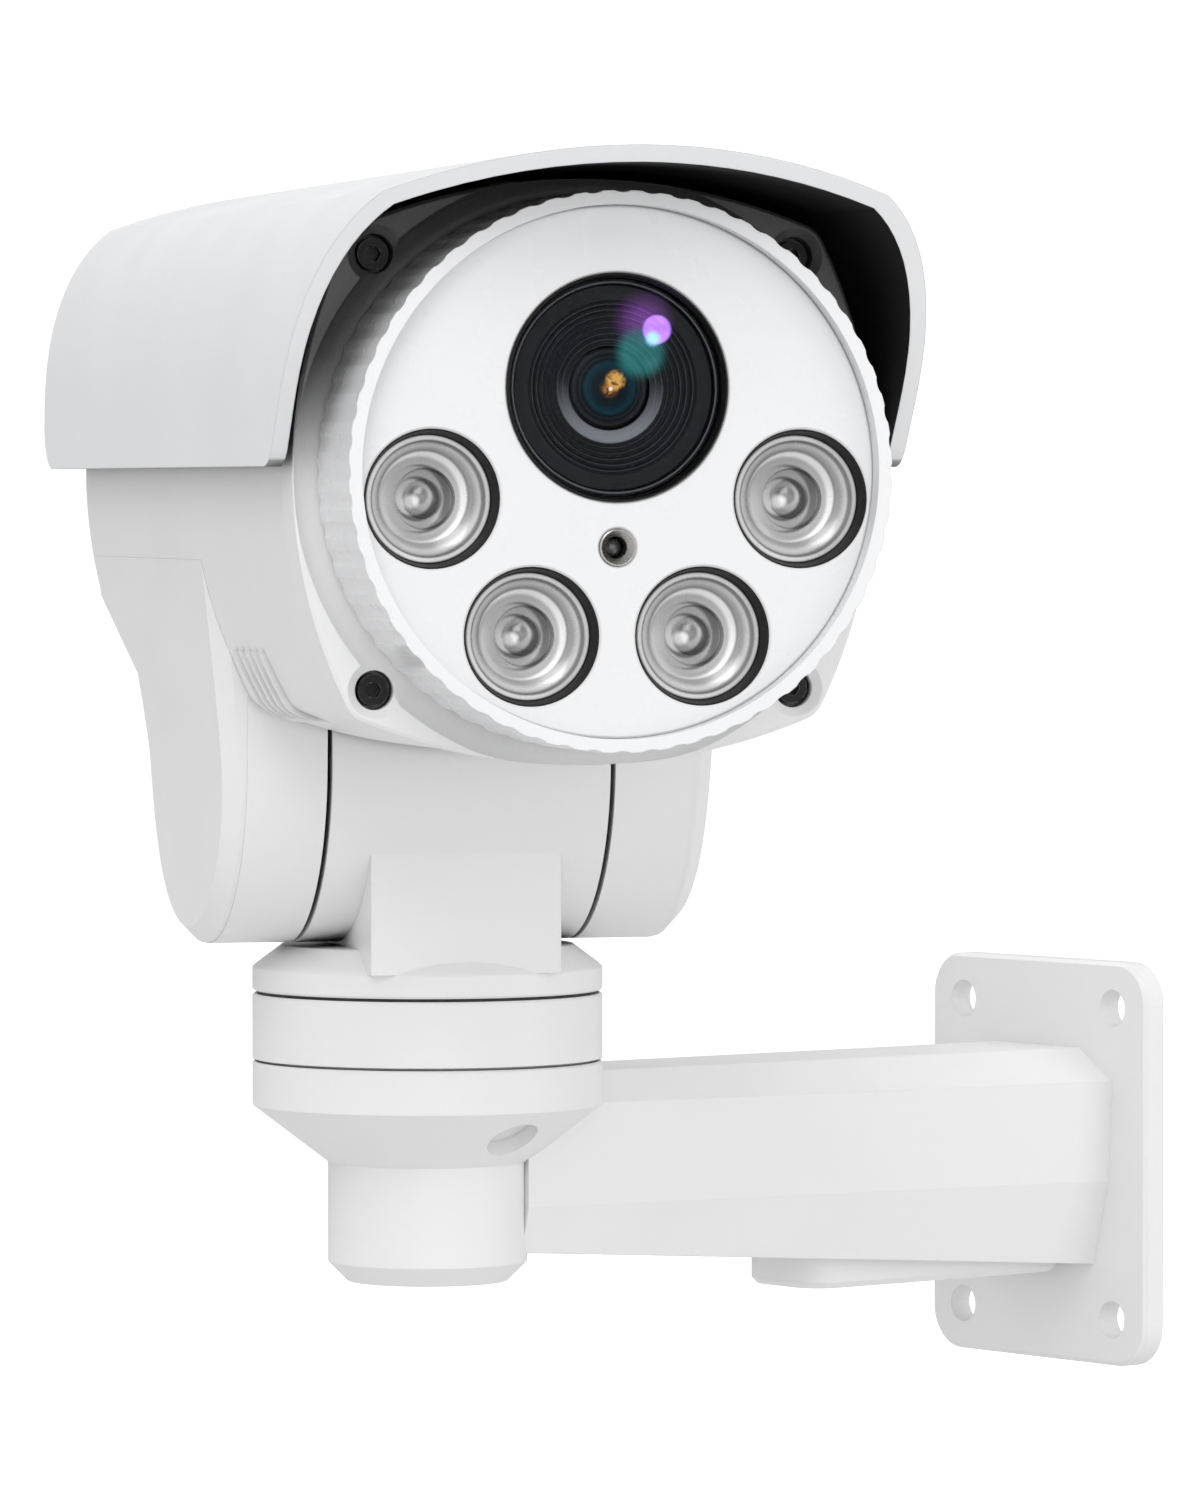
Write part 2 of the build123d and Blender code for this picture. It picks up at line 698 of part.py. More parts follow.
def make_ear_cover(s):
    """The panel over one ear. Its outer face leaves the body's side smoothly and drops to the lobe."""
    foot = tilt_z - barrel_r - head_z - 1
    side_drop = (body_w - corner_x) * (panel_top / corner_z) ** 2
    side_slope = 2 * (body_w - corner_x) * panel_top / corner_z**2
    with BuildPart() as cover:
        with BuildSketch(front(-body_rear)):
            with BuildLine():
                Spline(
                    (s * (body_w - side_drop), panel_top),
                    (s * (ear_out + 3.2), -28),
                    (s * (ear_out + 0.3), -56),
                    (s * ear_out, foot),
                    tangents=((s * side_slope, -1), (0, -1)),
                )
                Polyline(
                    (s * ear_out, foot),
                    (s * ear_seam, foot),
                    (s * ear_seam, panel_top),
                    (s * (body_w - side_drop), panel_top),
                )
            make_face()
        extrude(amount=body_rear + barrel_r + 4)
        with BuildSketch(side(s * ear_seam)):
            add(ear_profile(0.2))
        extrude(amount=s * 12, mode=Mode.INTERSECT)
        outer = cover.faces().sort_by(Axis.X)[-1 if s > 0 else 0]
        chamfer(outer.edges().sort_by(Axis.Z)[:-1], 3.0)
        with BuildSketch(front(-body_rear - 10)):
            add(bulged_square(0.02))
        extrude(amount=frame_back + body_rear + 20, mode=Mode.SUBTRACT)
    return cover


def make_service_cover():
    rear = Plane(origin=(0, body_rear + 0.5, service_z), x_dir=(-1, 0, 0), z_dir=(0, 1, 0))
    with BuildPart() as cover:
        with BuildSketch(rear.offset(-1.2)):
            RectangleRounded(service_w - 0.6, service_h - 0.6, 5.7)
        extrude(amount=3.2)
        chamfer(cover.faces().sort_by(Axis.Y)[-1].edges(), 0.8)
        with Locations(*[Location(p) for p in grid_planes(rear.offset(2), service_w - 8, service_h - 8)]):
            CounterBoreHole(screw_r + 0.1, 2.9, 1.8)
    return cover


# ---------------------------------------------------------------- front of the head
def make_front_frame():
    with BuildPart() as frame:
        with BuildSketch(front(frame_back)):
            add(bulged_square(0.6))
        extrude(amount=frame_front - frame_back)
        chamfer(frame.faces().sort_by(Axis.Y)[0].edges(), 0.6)
        with BuildSketch(front(frame_front)):
            Circle(thread_r - 0.04)
        extrude(amount=board_front - frame_front - 0.1)
        with Locations(front(board_front)):
            Hole(board_r + 0.2)
        # trough round the foot of the cap
        with BuildSketch(Plane(origin=(0, 0, head_z), x_dir=(1, 0, 0), z_dir=(0, 0, 1))):
            with BuildLine():
                ThreePointArc(
                    (cap_r - 3.0, -frame_front - 0.2),
                    (cap_r + 0.4, -frame_front + 1.9),
                    (cap_r + 4.6, -frame_front - 0.2),
                )
                Line((cap_r + 4.6, -frame_front - 0.2), (cap_r - 3.0, -frame_front - 0.2))
            make_face()
        revolve(axis=Axis((0, 0, head_z), (0, -1, 0)), mode=Mode.SUBTRACT)
        with Locations(front(frame_front)):
            with GridLocations(2 * frame_screw, 2 * frame_screw, 2, 2):
                CounterBoreHole(screw_r + 0.15, 3.6, 5.0)
                CounterSinkHole(screw_r + 0.15, 5.2, counter_sink_angle=100)
    return frame


def make_frame_gasket():
    with BuildPart() as gasket:
        with BuildSketch(front(frame_back - 1.0)):
            add(bulged_square(-0.7))
            add(bulged_square(-1.7), mode=Mode.SUBTRACT)
        extrude(amount=1.0)
    return gasket


def make_cap():
    with BuildPart() as cap:
        with BuildSketch(front(frame_front)):
            Circle(cap_r)
            with PolarLocations(cap_r + scallop_r - scallop_depth, scallops):
                Circle(scallop_r, mode=Mode.SUBTRACT)
            Circle(thread_r, mode=Mode.SUBTRACT)
        extrude(amount=cap_front - frame_front)
        # thin rim round the face
        with BuildSketch(front(face_front - face_t)):
            Circle(cap_bore_r)
        extrude(amount=10, mode=Mode.SUBTRACT)
    return cap


def make_face_plate():
    with BuildPart() as face:
        with BuildSketch(front(face_front - face_t)):
            Circle(cap_bore_r - 0.05)
            with Locations((0, lens_z)):
                Circle(lens_hole_r, mode=Mode.SUBTRACT)
            with Locations(*led_places):
                Circle(led_r, mode=Mode.SUBTRACT)
            with Locations((0, eye_z)):
                Circle(eye_r, mode=Mode.SUBTRACT)
        extrude(amount=face_t)
        rims = face.faces().sort_by(Axis.Y)[0].edges().filter_by(GeomType.CIRCLE)
        chamfer(rims, 0.35)
    return face


def make_led_board():
    with BuildPart() as board:
        with BuildSketch(front(board_front - board_t)):
            Circle(board_r)
            with Locations((0, lens_z)):
                Circle(tube_bore + 3.4, mode=Mode.SUBTRACT)
        extrude(amount=board_t)
    return board


def make_led_chips():
    with BuildPart() as chips:
        for x, z in led_places:
            with BuildSketch(front(board_front)):
                with Locations((x, z)):
                    Rectangle(4.4, 4.4)
            extrude(amount=0.9)
    return chips


def make_led_cups():
    """Black cups between the board and the face, one round each light."""
    with BuildPart() as cups:
        for x, z in led_places:
            with BuildSketch(Plane(origin=(x, 0, head_z + z), x_dir=(1, 0, 0), z_dir=(0, 0, 1))):
                with BuildLine():
                    Polyline(
                        (led_r - 1.0, -board_front),
                        (led_r - 0.06, -board_front),
                        (led_r - 0.06, -face_front + 0.5),
                        (led_r - 0.3, -face_front + 0.5),
                        (led_r - 1.0, -face_front + 3.4),
                        close=True,
                    )
                make_face()
            revolve(axis=Axis((x, 0, head_z + z), (0, -1, 0)))
    return cups


def make_led_optics():
    """Reflector lenses: a bell narrowing to the chip, with a dished front."""
    with BuildPart() as optics:
        for x, z in led_places:
            spin = Axis((x, 0, head_z + z), (0, -1, 0))
            with BuildSketch(Plane(origin=(x, 0, head_z + z), x_dir=(1, 0, 0), z_dir=(0, 0, 1))):
                with BuildLine():
                    Line((0, -130.4), (5.0, -130.4))
                    ThreePointArc((5.0, -130.4), (9.2, -133.6), (11.4, -137.8))
                    Polyline((11.4, -137.8), (11.4, -139.1), (10.5, -139.1))
                    ThreePointArc((10.5, -139.1), (7.4, -137.0), (5.6, -136.6))
                    Polyline((5.6, -136.6), (5.2, -135.4), (3.6, -134.9))
                    ThreePointArc((3.6, -134.9), dome_mid(3.6, -134.9, -136.9), (0, -136.9))
                    Line((0, -136.9), (0, -130.4))
                make_face()
            revolve(axis=spin)
    return optics


def make_eye():
    """Light sensor: a bevelled metal bezel and the dome inside it."""
    centre = Plane(origin=(0, 0, head_z + eye_z), x_dir=(1, 0, 0), z_dir=(0, 0, 1))
    spin = Axis((0, 0, head_z + eye_z), (0, -1, 0))
    with BuildPart() as bezel:
        with BuildSketch(centre):
            with BuildLine():
                Polyline((2.0, -136.5), (3.35, -136.5), (3.35, -142.6), (3.1, -142.8), (2.0, -141.4), close=True)
            make_face()
        revolve(axis=spin)
    with BuildPart() as dome:
        with BuildSketch(centre):
            with BuildLine():
                Polyline((0, -139.6), (0, -board_front), (1.9, -board_front), (1.9, -138.4))
                ThreePointArc((1.9, -138.4), dome_mid(1.9, -138.4, -139.6), (0, -139.6))
            make_face()
        revolve(axis=spin)
    return bezel, dome


# ---------------------------------------------------------------- lens module
def lens_front(d):
    """A forward-facing plane on the lens axis."""
    return front(d, head_z + lens_z)


def lens_turn():
    """The half plane and axis that the lens's round parts are turned about."""
    plane = Plane(origin=(0, 0, head_z + lens_z), x_dir=(1, 0, 0), z_dir=(0, 0, 1))
    return plane, Axis((0, 0, head_z + lens_z), (0, -1, 0))


def make_lens_bezel():
    plane, spin = lens_turn()
    with BuildPart() as bezel:
        with BuildSketch(plane):
            with BuildLine():
                Polyline(
                    (tube_bore + 0.1, -tube_front),
                    (tube_bore + 0.1, -142.2),
                    (lens_hole_r - 0.35, -143.0),
                    (lens_hole_r - 0.05, -142.7),
                    (lens_hole_r - 0.05, -139.4),
                    (tube_r, -139.4),
                    (tube_r, -tube_front),
                    close=True,
                )
            make_face()
        revolve(axis=spin)
    return bezel


def make_window():
    with BuildPart() as window:
        with BuildSketch(lens_front(140.6)):
            Circle(tube_bore + 0.04)
        extrude(amount=1.0)
    return window


def make_lens_tube():
    """The fixed tube, slotted on one side for the runner of the zoom barrel."""
    with BuildPart() as tube:
        with BuildSketch(lens_front(tube_rear)):
            Circle(tube_r)
            Circle(tube_bore, mode=Mode.SUBTRACT)
        extrude(amount=tube_front - tube_rear)
        with BuildSketch(lens_front(tube_rear)):
            Circle(tube_r)
            Circle(8.5, mode=Mode.SUBTRACT)
        extrude(amount=3)
        with BuildSketch(lens_front(tube_rear + 12)):
            with Locations((tube_r, 0)):
                Rectangle(12, 7)
        extrude(amount=46, mode=Mode.SUBTRACT)
    return tube


def make_zoom_barrel():
    """The sliding barrel, with stepped baffles in its mouth and a runner on its side."""
    plane, spin = lens_turn()
    steps = [(18.6, -barrel_front)]
    steps += [(15.7 - 0.95 * i, -barrel_front + 1.0 + 0.35 * i) for i in range(7)]
    mouth = [steps[0]]
    for (r, _), (next_r, next_y) in zip(steps, steps[1:]):
        mouth += [(r - 0.3, next_y), (next_r, next_y)]
    with BuildPart() as barrel:
        with BuildSketch(plane):
            with BuildLine():
                Polyline(
                    (barrel_out, -barrel_rear),
                    (barrel_out, -barrel_front),
                    *mouth,
                    (8.6, steps[-1][1] + 0.5),
                    (7.6, steps[-1][1] + 0.5),
                    (7.6, -barrel_front + 4),
                    (9.0, -barrel_front + 4),
                    (9.0, -barrel_rear),
                    close=True,
                )
            make_face()
        revolve(axis=spin)
        with BuildSketch(lens_front(barrel_rear)):
            with Locations((22.0, 0)):
                Rectangle(10, 6)
            with Locations((rod_x, 0)):
                Circle(3.4)
                Circle(rod_r + running, mode=Mode.SUBTRACT)
        extrude(amount=6)
    return barrel


def make_element(r, back, front_sag, thickness):
    """One glass element, flat behind and domed in front."""
    plane, spin = lens_turn()
    rim, top = -back - thickness, -back - thickness - front_sag
    with BuildPart() as element:
        with BuildSketch(plane):
            with BuildLine():
                Polyline((0, top), (0, -back), (r, -back), (r, rim))
                ThreePointArc((r, rim), dome_mid(r, rim, top), (0, top))
            make_face()
        revolve(axis=spin)
    return element


def make_guide_rod():
    with BuildPart() as rod:
        with BuildSketch(lens_front(tube_rear + 10)):
            with Locations((rod_x, 0)):
                Circle(rod_r)
        extrude(amount=34)
    return rod


def make_zoom_drive():
    with BuildPart() as drive:
        with BuildSketch(lens_front(tube_rear)):
            with Locations((rod_x + 3, 0)):
                Rectangle(12, 11)
        extrude(amount=18)
        with BuildSketch(lens_front(tube_rear + 8)):
            with Locations((rod_x, 0)):
                Circle(rod_r + running)
        extrude(amount=20, mode=Mode.SUBTRACT)
        with BuildSketch(lens_front(tube_rear - 1)):
            with Locations((0, 0)):
                Circle(tube_r)
        extrude(amount=40, mode=Mode.SUBTRACT)
    return drive


def make_lens_mount():
    """The bulkhead that holds the lens tube square in the housing."""
    with BuildPart() as mount:
        with BuildSketch(front(112.0)):
            Circle(board_r - 0.4)
            with Locations((0, lens_z)):
                Circle(tube_r, mode=Mode.SUBTRACT)
            with Locations((0, -22)):
                RectangleRounded(44, 16, 3, mode=Mode.SUBTRACT)
        extrude(amount=3)
        with BuildSketch(front(frame_back - 2.5)):
            Circle(board_r + 2.0)
            with Locations((0, lens_z)):
                Circle(tube_r, mode=Mode.SUBTRACT)
            with Locations((0, -22)):
                RectangleRounded(44, 16, 3, mode=Mode.SUBTRACT)
        extrude(amount=2.5)
        with BuildSketch(front(frame_back)):
            Circle(board_r - 0.4)
            with Locations((0, lens_z)):
                Circle(tube_r, mode=Mode.SUBTRACT)
            with Locations((0, -22)):
                RectangleRounded(44, 16, 3, mode=Mode.SUBTRACT)
        extrude(amount=1.2)
    return mount


def make_filter_parts():
    """The frame behind the lens and the shuttle that swaps the infra-red filter."""
    with BuildPart() as carrier:
        with BuildSketch(lens_front(tube_rear - 6)):
            RectangleRounded(46, 26, 3)
        extrude(amount=6)
        with BuildSketch(lens_front(tube_rear - 6)):
            Circle(6.0)
        extrude(amount=6, mode=Mode.SUBTRACT)
        for plane in grid_planes(lens_front(tube_rear - 10.4), 30, 20):
            with BuildSketch(plane):
                Circle(1.8)
            extrude(amount=4.4)
        with BuildSketch(lens_front(tube_rear - 3.6)):
            with Locations((shuttle_travel / 2, 0)):
                Rectangle(22 + shuttle_travel + 1, 14.12)
        extrude(amount=1.32, mode=Mode.SUBTRACT)
    with BuildPart() as shuttle:
        with BuildSketch(lens_front(tube_rear - 3.54)):
            Rectangle(22, 14)
        extrude(amount=1.2)
    return carrier, shuttle


def make_sensor_board():
    with BuildPart() as board:
        with BuildSketch(lens_front(tube_rear - 12)):
            RectangleRounded(38, 32, 2)
        extrude(amount=1.6)
    with BuildPart() as chip:
        with BuildSketch(lens_front(tube_rear - 10.4)):
            Rectangle(11, 9)
        extrude(amount=1.4)
    return board, chip


def make_main_board():
    """The processing board on its posts over the turret's hollow, with its larger parts."""
    deck = head_z - 8
    with BuildPart() as posts:
        for x in (-22, 22):
            for y, foot in ((0, saddle_r + 2.4), (40, relief_roof + 2.4)):
                with BuildSketch(level(tilt_z + foot)):
                    with Locations((x, y)):
                        Circle(2.5)
                extrude(amount=deck - tilt_z - foot)
    with BuildPart() as board:
        with BuildSketch(level(deck)):
            with Locations((0, 6)):
                RectangleRounded(76, 84, 3)
        extrude(amount=1.6)
    with BuildPart() as chips:
        for x, y, w, h, t in ((0, 0, 16, 16, 2), (22, -14, 10, 10, 1.5), (-20, 20, 12, 8, 4), (18, 30, 14, 12, 9)):
            with BuildSketch(level(deck + 1.6)):
                with Locations((x, y)):
                    Rectangle(w, h)
            extrude(amount=t)
    return posts, board, chips


# ---------------------------------------------------------------- sun shield
def shield_section(inset):
    """The shield's closed section, drawn inside its outer face by inset."""
    foot_x, side_x = shield_foot[0] - inset, shield_side[0] - inset
    corner = (shield_corner[0] - 0.75 * inset, shield_corner[1] - 0.75 * inset)
    with BuildSketch() as section:
        with BuildLine() as half:
            Line((0, -5), (foot_x, -5))
            Line((foot_x, -5), (foot_x, shield_foot[1]))
            Spline((foot_x, shield_foot[1]), (side_x, shield_side[1]), corner, tangents=((0, 1), (-0.8, 0.6)))
            RadiusArc(corner, (0, shield_crown - inset), -shield_roof_r)
            mirror(about=Plane.YZ)
        make_face()
    return section.sketch


def make_shield():
    with BuildPart() as shield:
        with BuildSketch(front(-shield_rear_low - 2)):
            add(shield_section(0.0))
        extrude(amount=shield_rear_low - shield_front_top + 4)
        with BuildSketch(front(-shield_rear_low - 2)):
            add(shield_section(shield_t))
        extrude(amount=shield_rear_low - shield_front_top + 4, mode=Mode.SUBTRACT)
        with BuildSketch(side(-80, head_z)):
            with BuildLine():
                FilletPolyline(
                    (0, shield_foot[1]),
                    (shield_front_low, shield_foot[1]),
                    (shield_front_top, shield_crown + 1),
                    radius=8,
                )
                Line((shield_front_top, shield_crown + 1), (shield_rear_top, shield_crown + 1))
                FilletPolyline(
                    (shield_rear_top, shield_crown + 1),
                    (shield_rear_low, shield_foot[1]),
                    (0, shield_foot[1]),
                    radius=8,
                )
            make_face()
        extrude(amount=160, mode=Mode.INTERSECT)
        with Locations(level(head_z + shield_crown)):
            with Locations(*[(0, -d) for d in shield_screw_d]):
                CounterBoreHole(screw_r + 0.1, 3.5, 1.9, depth=10)
    return shield


def make_shield_spacers():
    with BuildPart() as spacers:
        for d in shield_screw_d:
            with BuildSketch(level(head_z + body_h)):
                with Locations((0, -d)):
                    Circle(5)
                    Circle(screw_r + 0.1, mode=Mode.SUBTRACT)
            extrude(amount=shield_crown - shield_t - body_h - 0.12)
    return spacers


# ---------------------------------------------------------------- build every piece
os.makedirs("parts", exist_ok=True)

keep(make_wall_bracket(), "wall_bracket", at_wall)
keep(make_cable_hatch(), "cable_hatch", at_wall)
keep(screw_group(hatch_screw_planes(), 2.9, 1.8, 12), "hatch_screws", at_wall)
keep(make_main_cable(), "main_cable", at_wall)

keep(make_base_ring(), "base_ring")
keep(screw_group(base_screw_planes(), 2.8, 2.0, 9), "base_screws")
keep(ring(level(ring_top - 0.8), stage_r - 0.9, stage_r - 2.2, 0.8 + seam - 0.03), "pan_seal")
outer_race, inner_race = make_races()
keep(outer_race, "bearing_outer_race")
keep(inner_race, "bearing_inner_race")
keep(make_balls(), "bearing_balls")
keep(make_wheel(level(gear_z), shaft_r + 0.8), "pan_gear")
keep(make_pan_shaft(), "pan_shaft")
keep(make_shaft_nut(), "pan_shaft_nut")

pan_motor_face = Plane(origin=(0, centre_distance, block_floor), x_dir=(0, 1, 0), z_dir=(0, 0, -1))
tilt_motor_face = Plane(origin=(tilt_motor_x, 0, tilt_z + centre_distance), x_dir=(0, 1, 0), z_dir=(1, 0, 0))
keep(make_yoke(), "turret_yoke")
keep(make_end_cap(), "barrel_end_cap")
keep(make_bush(-1), "tilt_bush_left")
keep(make_bush(1), "tilt_bush_right")
keep(make_motor(pan_motor_face), "pan_motor")
half_tooth = 180 / pinion_teeth
keep(make_pinion(pan_motor_face, block_floor - gear_z - gear_w + 0.2, half_tooth), "pan_pinion")
keep(make_motor(tilt_motor_face), "tilt_motor")
keep(make_pinion(tilt_motor_face, tilt_gear_x - tilt_motor_x + 0.2), "tilt_pinion")

keep(make_axle(-1, 20.0), "tilt_axle_left")
keep(make_axle(1, tilt_gear_x), "tilt_axle_right")
keep(make_wheel(side(tilt_gear_x), axle_r), "tilt_gear")
keep(make_housing(), "head_housing")
keep(make_ear_cover(-1), "ear_cover_left")
keep(make_ear_cover(1), "ear_cover_right")
keep(make_service_cover(), "service_cover")
service_plane = Plane(origin=(0, body_rear + 2.3, service_z), x_dir=(-1, 0, 0), z_dir=(0, 1, 0))
keep(screw_group(grid_planes(service_plane, service_w - 8, service_h - 8), 2.7, 1.6, 6.5), "service_screws")

keep(make_front_frame(), "front_frame")
frame_screw_planes = grid_planes(front(frame_front - 2.2), 2 * frame_screw, 2 * frame_screw)
keep(screw_group(frame_screw_planes, 2.9, 2.8, 18), "frame_screws")
keep(make_frame_gasket(), "frame_gasket")
keep(make_cap(), "front_cap")
keep(make_face_plate(), "face_plate")
keep(make_led_board(), "led_board")
keep(make_led_chips(), "led_chips")
keep(make_led_cups(), "led_cups")
keep(make_led_optics(), "led_optics")
eye_bezel, eye_dome = make_eye()
keep(eye_bezel, "light_sensor_bezel")
keep(eye_dome, "light_sensor")

keep(make_lens_bezel(), "lens_bezel")
keep(make_window(), "lens_window")
keep(make_lens_tube(), "lens_tube")
keep(make_lens_mount(), "lens_mount")
keep(make_zoom_barrel(), "zoom_barrel")
keep(make_element(8.95, barrel_front - 9, 1.9, 4.2), "front_element")
keep(make_element(8.45, tube_rear + 0.1, 1.0, 2.2), "rear_element")
keep(make_guide_rod(), "guide_rod")
keep(make_zoom_drive(), "zoom_drive")
filter_carrier, filter_shuttle = make_filter_parts()
keep(filter_carrier, "filter_carrier")
keep(filter_shuttle, "filter_shuttle")
sensor_board, image_sensor = make_sensor_board()
keep(sensor_board, "sensor_board")
keep(image_sensor, "image_sensor")
board_posts, main_board, board_chips = make_main_board()
keep(board_posts, "board_posts")
keep(main_board, "main_board")
keep(board_chips, "board_chips")

keep(make_shield(), "sun_shield")
shield_planes = [Plane((0, -d, head_z + shield_crown - 0.1)) for d in shield_screw_d]
keep(screw_group(shield_planes, 3.3, 1.8, 7.6), "shield_screws")
keep(make_shield_spacers(), "shield_spacers")
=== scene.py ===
import json
import math

import bpy
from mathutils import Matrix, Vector


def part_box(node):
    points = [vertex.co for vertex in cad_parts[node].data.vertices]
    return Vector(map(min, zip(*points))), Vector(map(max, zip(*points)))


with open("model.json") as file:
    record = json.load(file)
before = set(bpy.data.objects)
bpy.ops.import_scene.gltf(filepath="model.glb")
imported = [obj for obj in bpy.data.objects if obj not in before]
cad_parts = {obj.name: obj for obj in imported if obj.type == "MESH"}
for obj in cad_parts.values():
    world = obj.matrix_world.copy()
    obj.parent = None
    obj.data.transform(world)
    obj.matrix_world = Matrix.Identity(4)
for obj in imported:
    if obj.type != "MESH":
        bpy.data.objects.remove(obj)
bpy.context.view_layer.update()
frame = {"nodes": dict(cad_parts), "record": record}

# ---------------------------------------------------------------- places taken from the frame
JOINTS = {joint["name"]: joint for joint in frame["record"]["behaviour"]["joints"]}
FORWARD = Vector(JOINTS["zoom"]["axis"])  # the way the head looks at rest
RIGHT = Vector(JOINTS["tilt"]["axis"])
UP = Vector((0, 0, 1))
PAN_POINT = Vector(JOINTS["pan"]["pos_m"])
LENS_POINT = Vector(JOINTS["zoom"]["pos_m"])


def middle(node):
    low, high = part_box(node)
    return (Vector(low) + Vector(high)) / 2


HEAD_POINT = middle("face_plate")
EYE_POINT = middle("light_sensor_bezel")
# the lights' axes, across and up from the face's centre
LED_PLACES = [(side * across, up)
              for across, up in ((0.0341, -0.0048), (0.0158, -0.0294)) for side in (-1, 1)]
LED_REACH = 0.0130  # radius round each axis that belongs to its light

# ---------------------------------------------------------------- looks, metres and linear colours
EDGE = 0.00035  # radius that the edges of castings are softened to
PANEL_EDGE = 0.00002  # the ear panels start flush, so their feather edge stays nearly sharp
RIB_EDGE = 0.00012
PEEL = 0.00006  # height of the coat's orange peel
NOOK = 0.006  # surfaces closer than this gather dirt and painted shade
RIB_NOOK = 0.0025
HOOD_REACH = 0.030  # surfaces closer than this to the hood go dark
CAP_REACH = 0.012
WHITE = (0.82, 0.82, 0.825)
SHIELD_WHITE = (0.80, 0.81, 0.82)
# near black of the painted shade inside the hood
SHADE_BLACK = (0.006, 0.006, 0.006)
FACE_WHITE = (0.75, 0.755, 0.765)
CAP_WHITE = (0.765, 0.77, 0.78)
ACETAL = (0.74, 0.72, 0.66)
STEEL = (0.60, 0.60, 0.61)
SENSOR_STEEL = (0.55, 0.54, 0.53)
BRASS = (0.78, 0.60, 0.28)
ALUMINIUM = (0.72, 0.73, 0.74)
SKY_LIGHT = 0.80
PAPER_GLOW = 0.75
# a light's bowl, rim to bead, in discs of painted reflection and shade: centre across and up from
# its axis, radius, softness, grey
BOWL_REFLECTION_DISCS = [
    ((0.0, 0.0), 0.0114, 0.03, 0.62),
    ((0.0, 0.0), 0.0108, 0.04, 0.22),
    ((-0.0002, 0.0), 0.0103, 0.05, 0.66),
    ((-0.0001, 0.0002), 0.0098, 0.12, 0.34),
    ((-0.0004, 0.0005), 0.0087, 0.06, 0.24),
    ((-0.0005, 0.0003), 0.0084, 0.06, 0.80),
    ((-0.0011, 0.0), 0.0080, 0.10, 0.40),
    ((-0.0010, 0.0), 0.0064, 0.08, 0.11),
    ((-0.0021, 0.0), 0.0062, 0.12, 0.38),
    ((-0.0012, 0.0), 0.0043, 0.12, 0.11),
    ((-0.0020, 0.0003), 0.0036, 0.20, 0.46),
    ((-0.0012, 0.0007), 0.0021, 0.40, 0.20),
    ((-0.0024, -0.0005), 0.0017, 0.65, 1.00),
]
BOWL_TURNING = 0.0026  # pitch of the turned waves in a bowl
# painted reflections in the lens window, as glowing spots: centre across and up from the lens axis,
# radius, softness, colour
PAINTED_WINDOW_REFLECTIONS = [
    ((0.0052, 0.0118), 0.0064, 0.90, (0.075, 0.022, 0.120)),
    ((0.0046, 0.0062), 0.0055, 0.50, (0.010, 0.075, 0.075)),
    ((0.0076, 0.0104), 0.0028, 0.18, (0.36, 0.16, 0.78)),
    ((0.0069, 0.0088), 0.0018, 0.70, (0.24, 0.52, 0.74)),
]
# radii on the front of the lens barrel, from its axis
COLLAR_IN, COLLAR_OUT, BAND_IN, RIM_IN, LIP_IN, LIP_OUT = (
    0.0075, 0.0101, 0.0156, 0.0181, 0.01865, 0.01905)
RING_PITCH, LINE_PITCH = 0.00042, 0.00105
ELEMENT_R = 0.0090
# the front element's dark colour with painted reflections (amber heart, teal ring, grey rings),
# from its axis to its rim
ELEMENT_TONE_AND_REFLECTIONS = [
    (0.00, (0.10, 0.05, 0.02)),
    (0.12, (0.06, 0.03, 0.01)),
    (0.24, (0.002, 0.004, 0.006)),
    (0.36, (0.001, 0.010, 0.016)),
    (0.50, (0.001, 0.028, 0.040)),
    (0.57, (0.001, 0.002, 0.003)),
    (0.62, (0.010, 0.016, 0.018)),
    (0.65, (0.001, 0.001, 0.001)),
    (0.74, (0.020, 0.020, 0.022)),
    (0.77, (0.001, 0.001, 0.001)),
    (1.00, (0.002, 0.002, 0.002)),
]
DOME_R = 0.002
# lamps: name, out towards the camera, right and up from the head, size, power
LAMPS = [
    ("key", 1.3, -0.3, 1.3, (1.2, 1.2), 14),
    ("front_fill", 1.8, 0.4, 0.0, (1.6, 1.4), 5.5),
    ("side", 0.5, 1.5, 0.3, (0.8, 1.4), 4.0),
    ("back_wash", -1.2, -0.6, 1.5, (2.0, 1.2), 10),
]


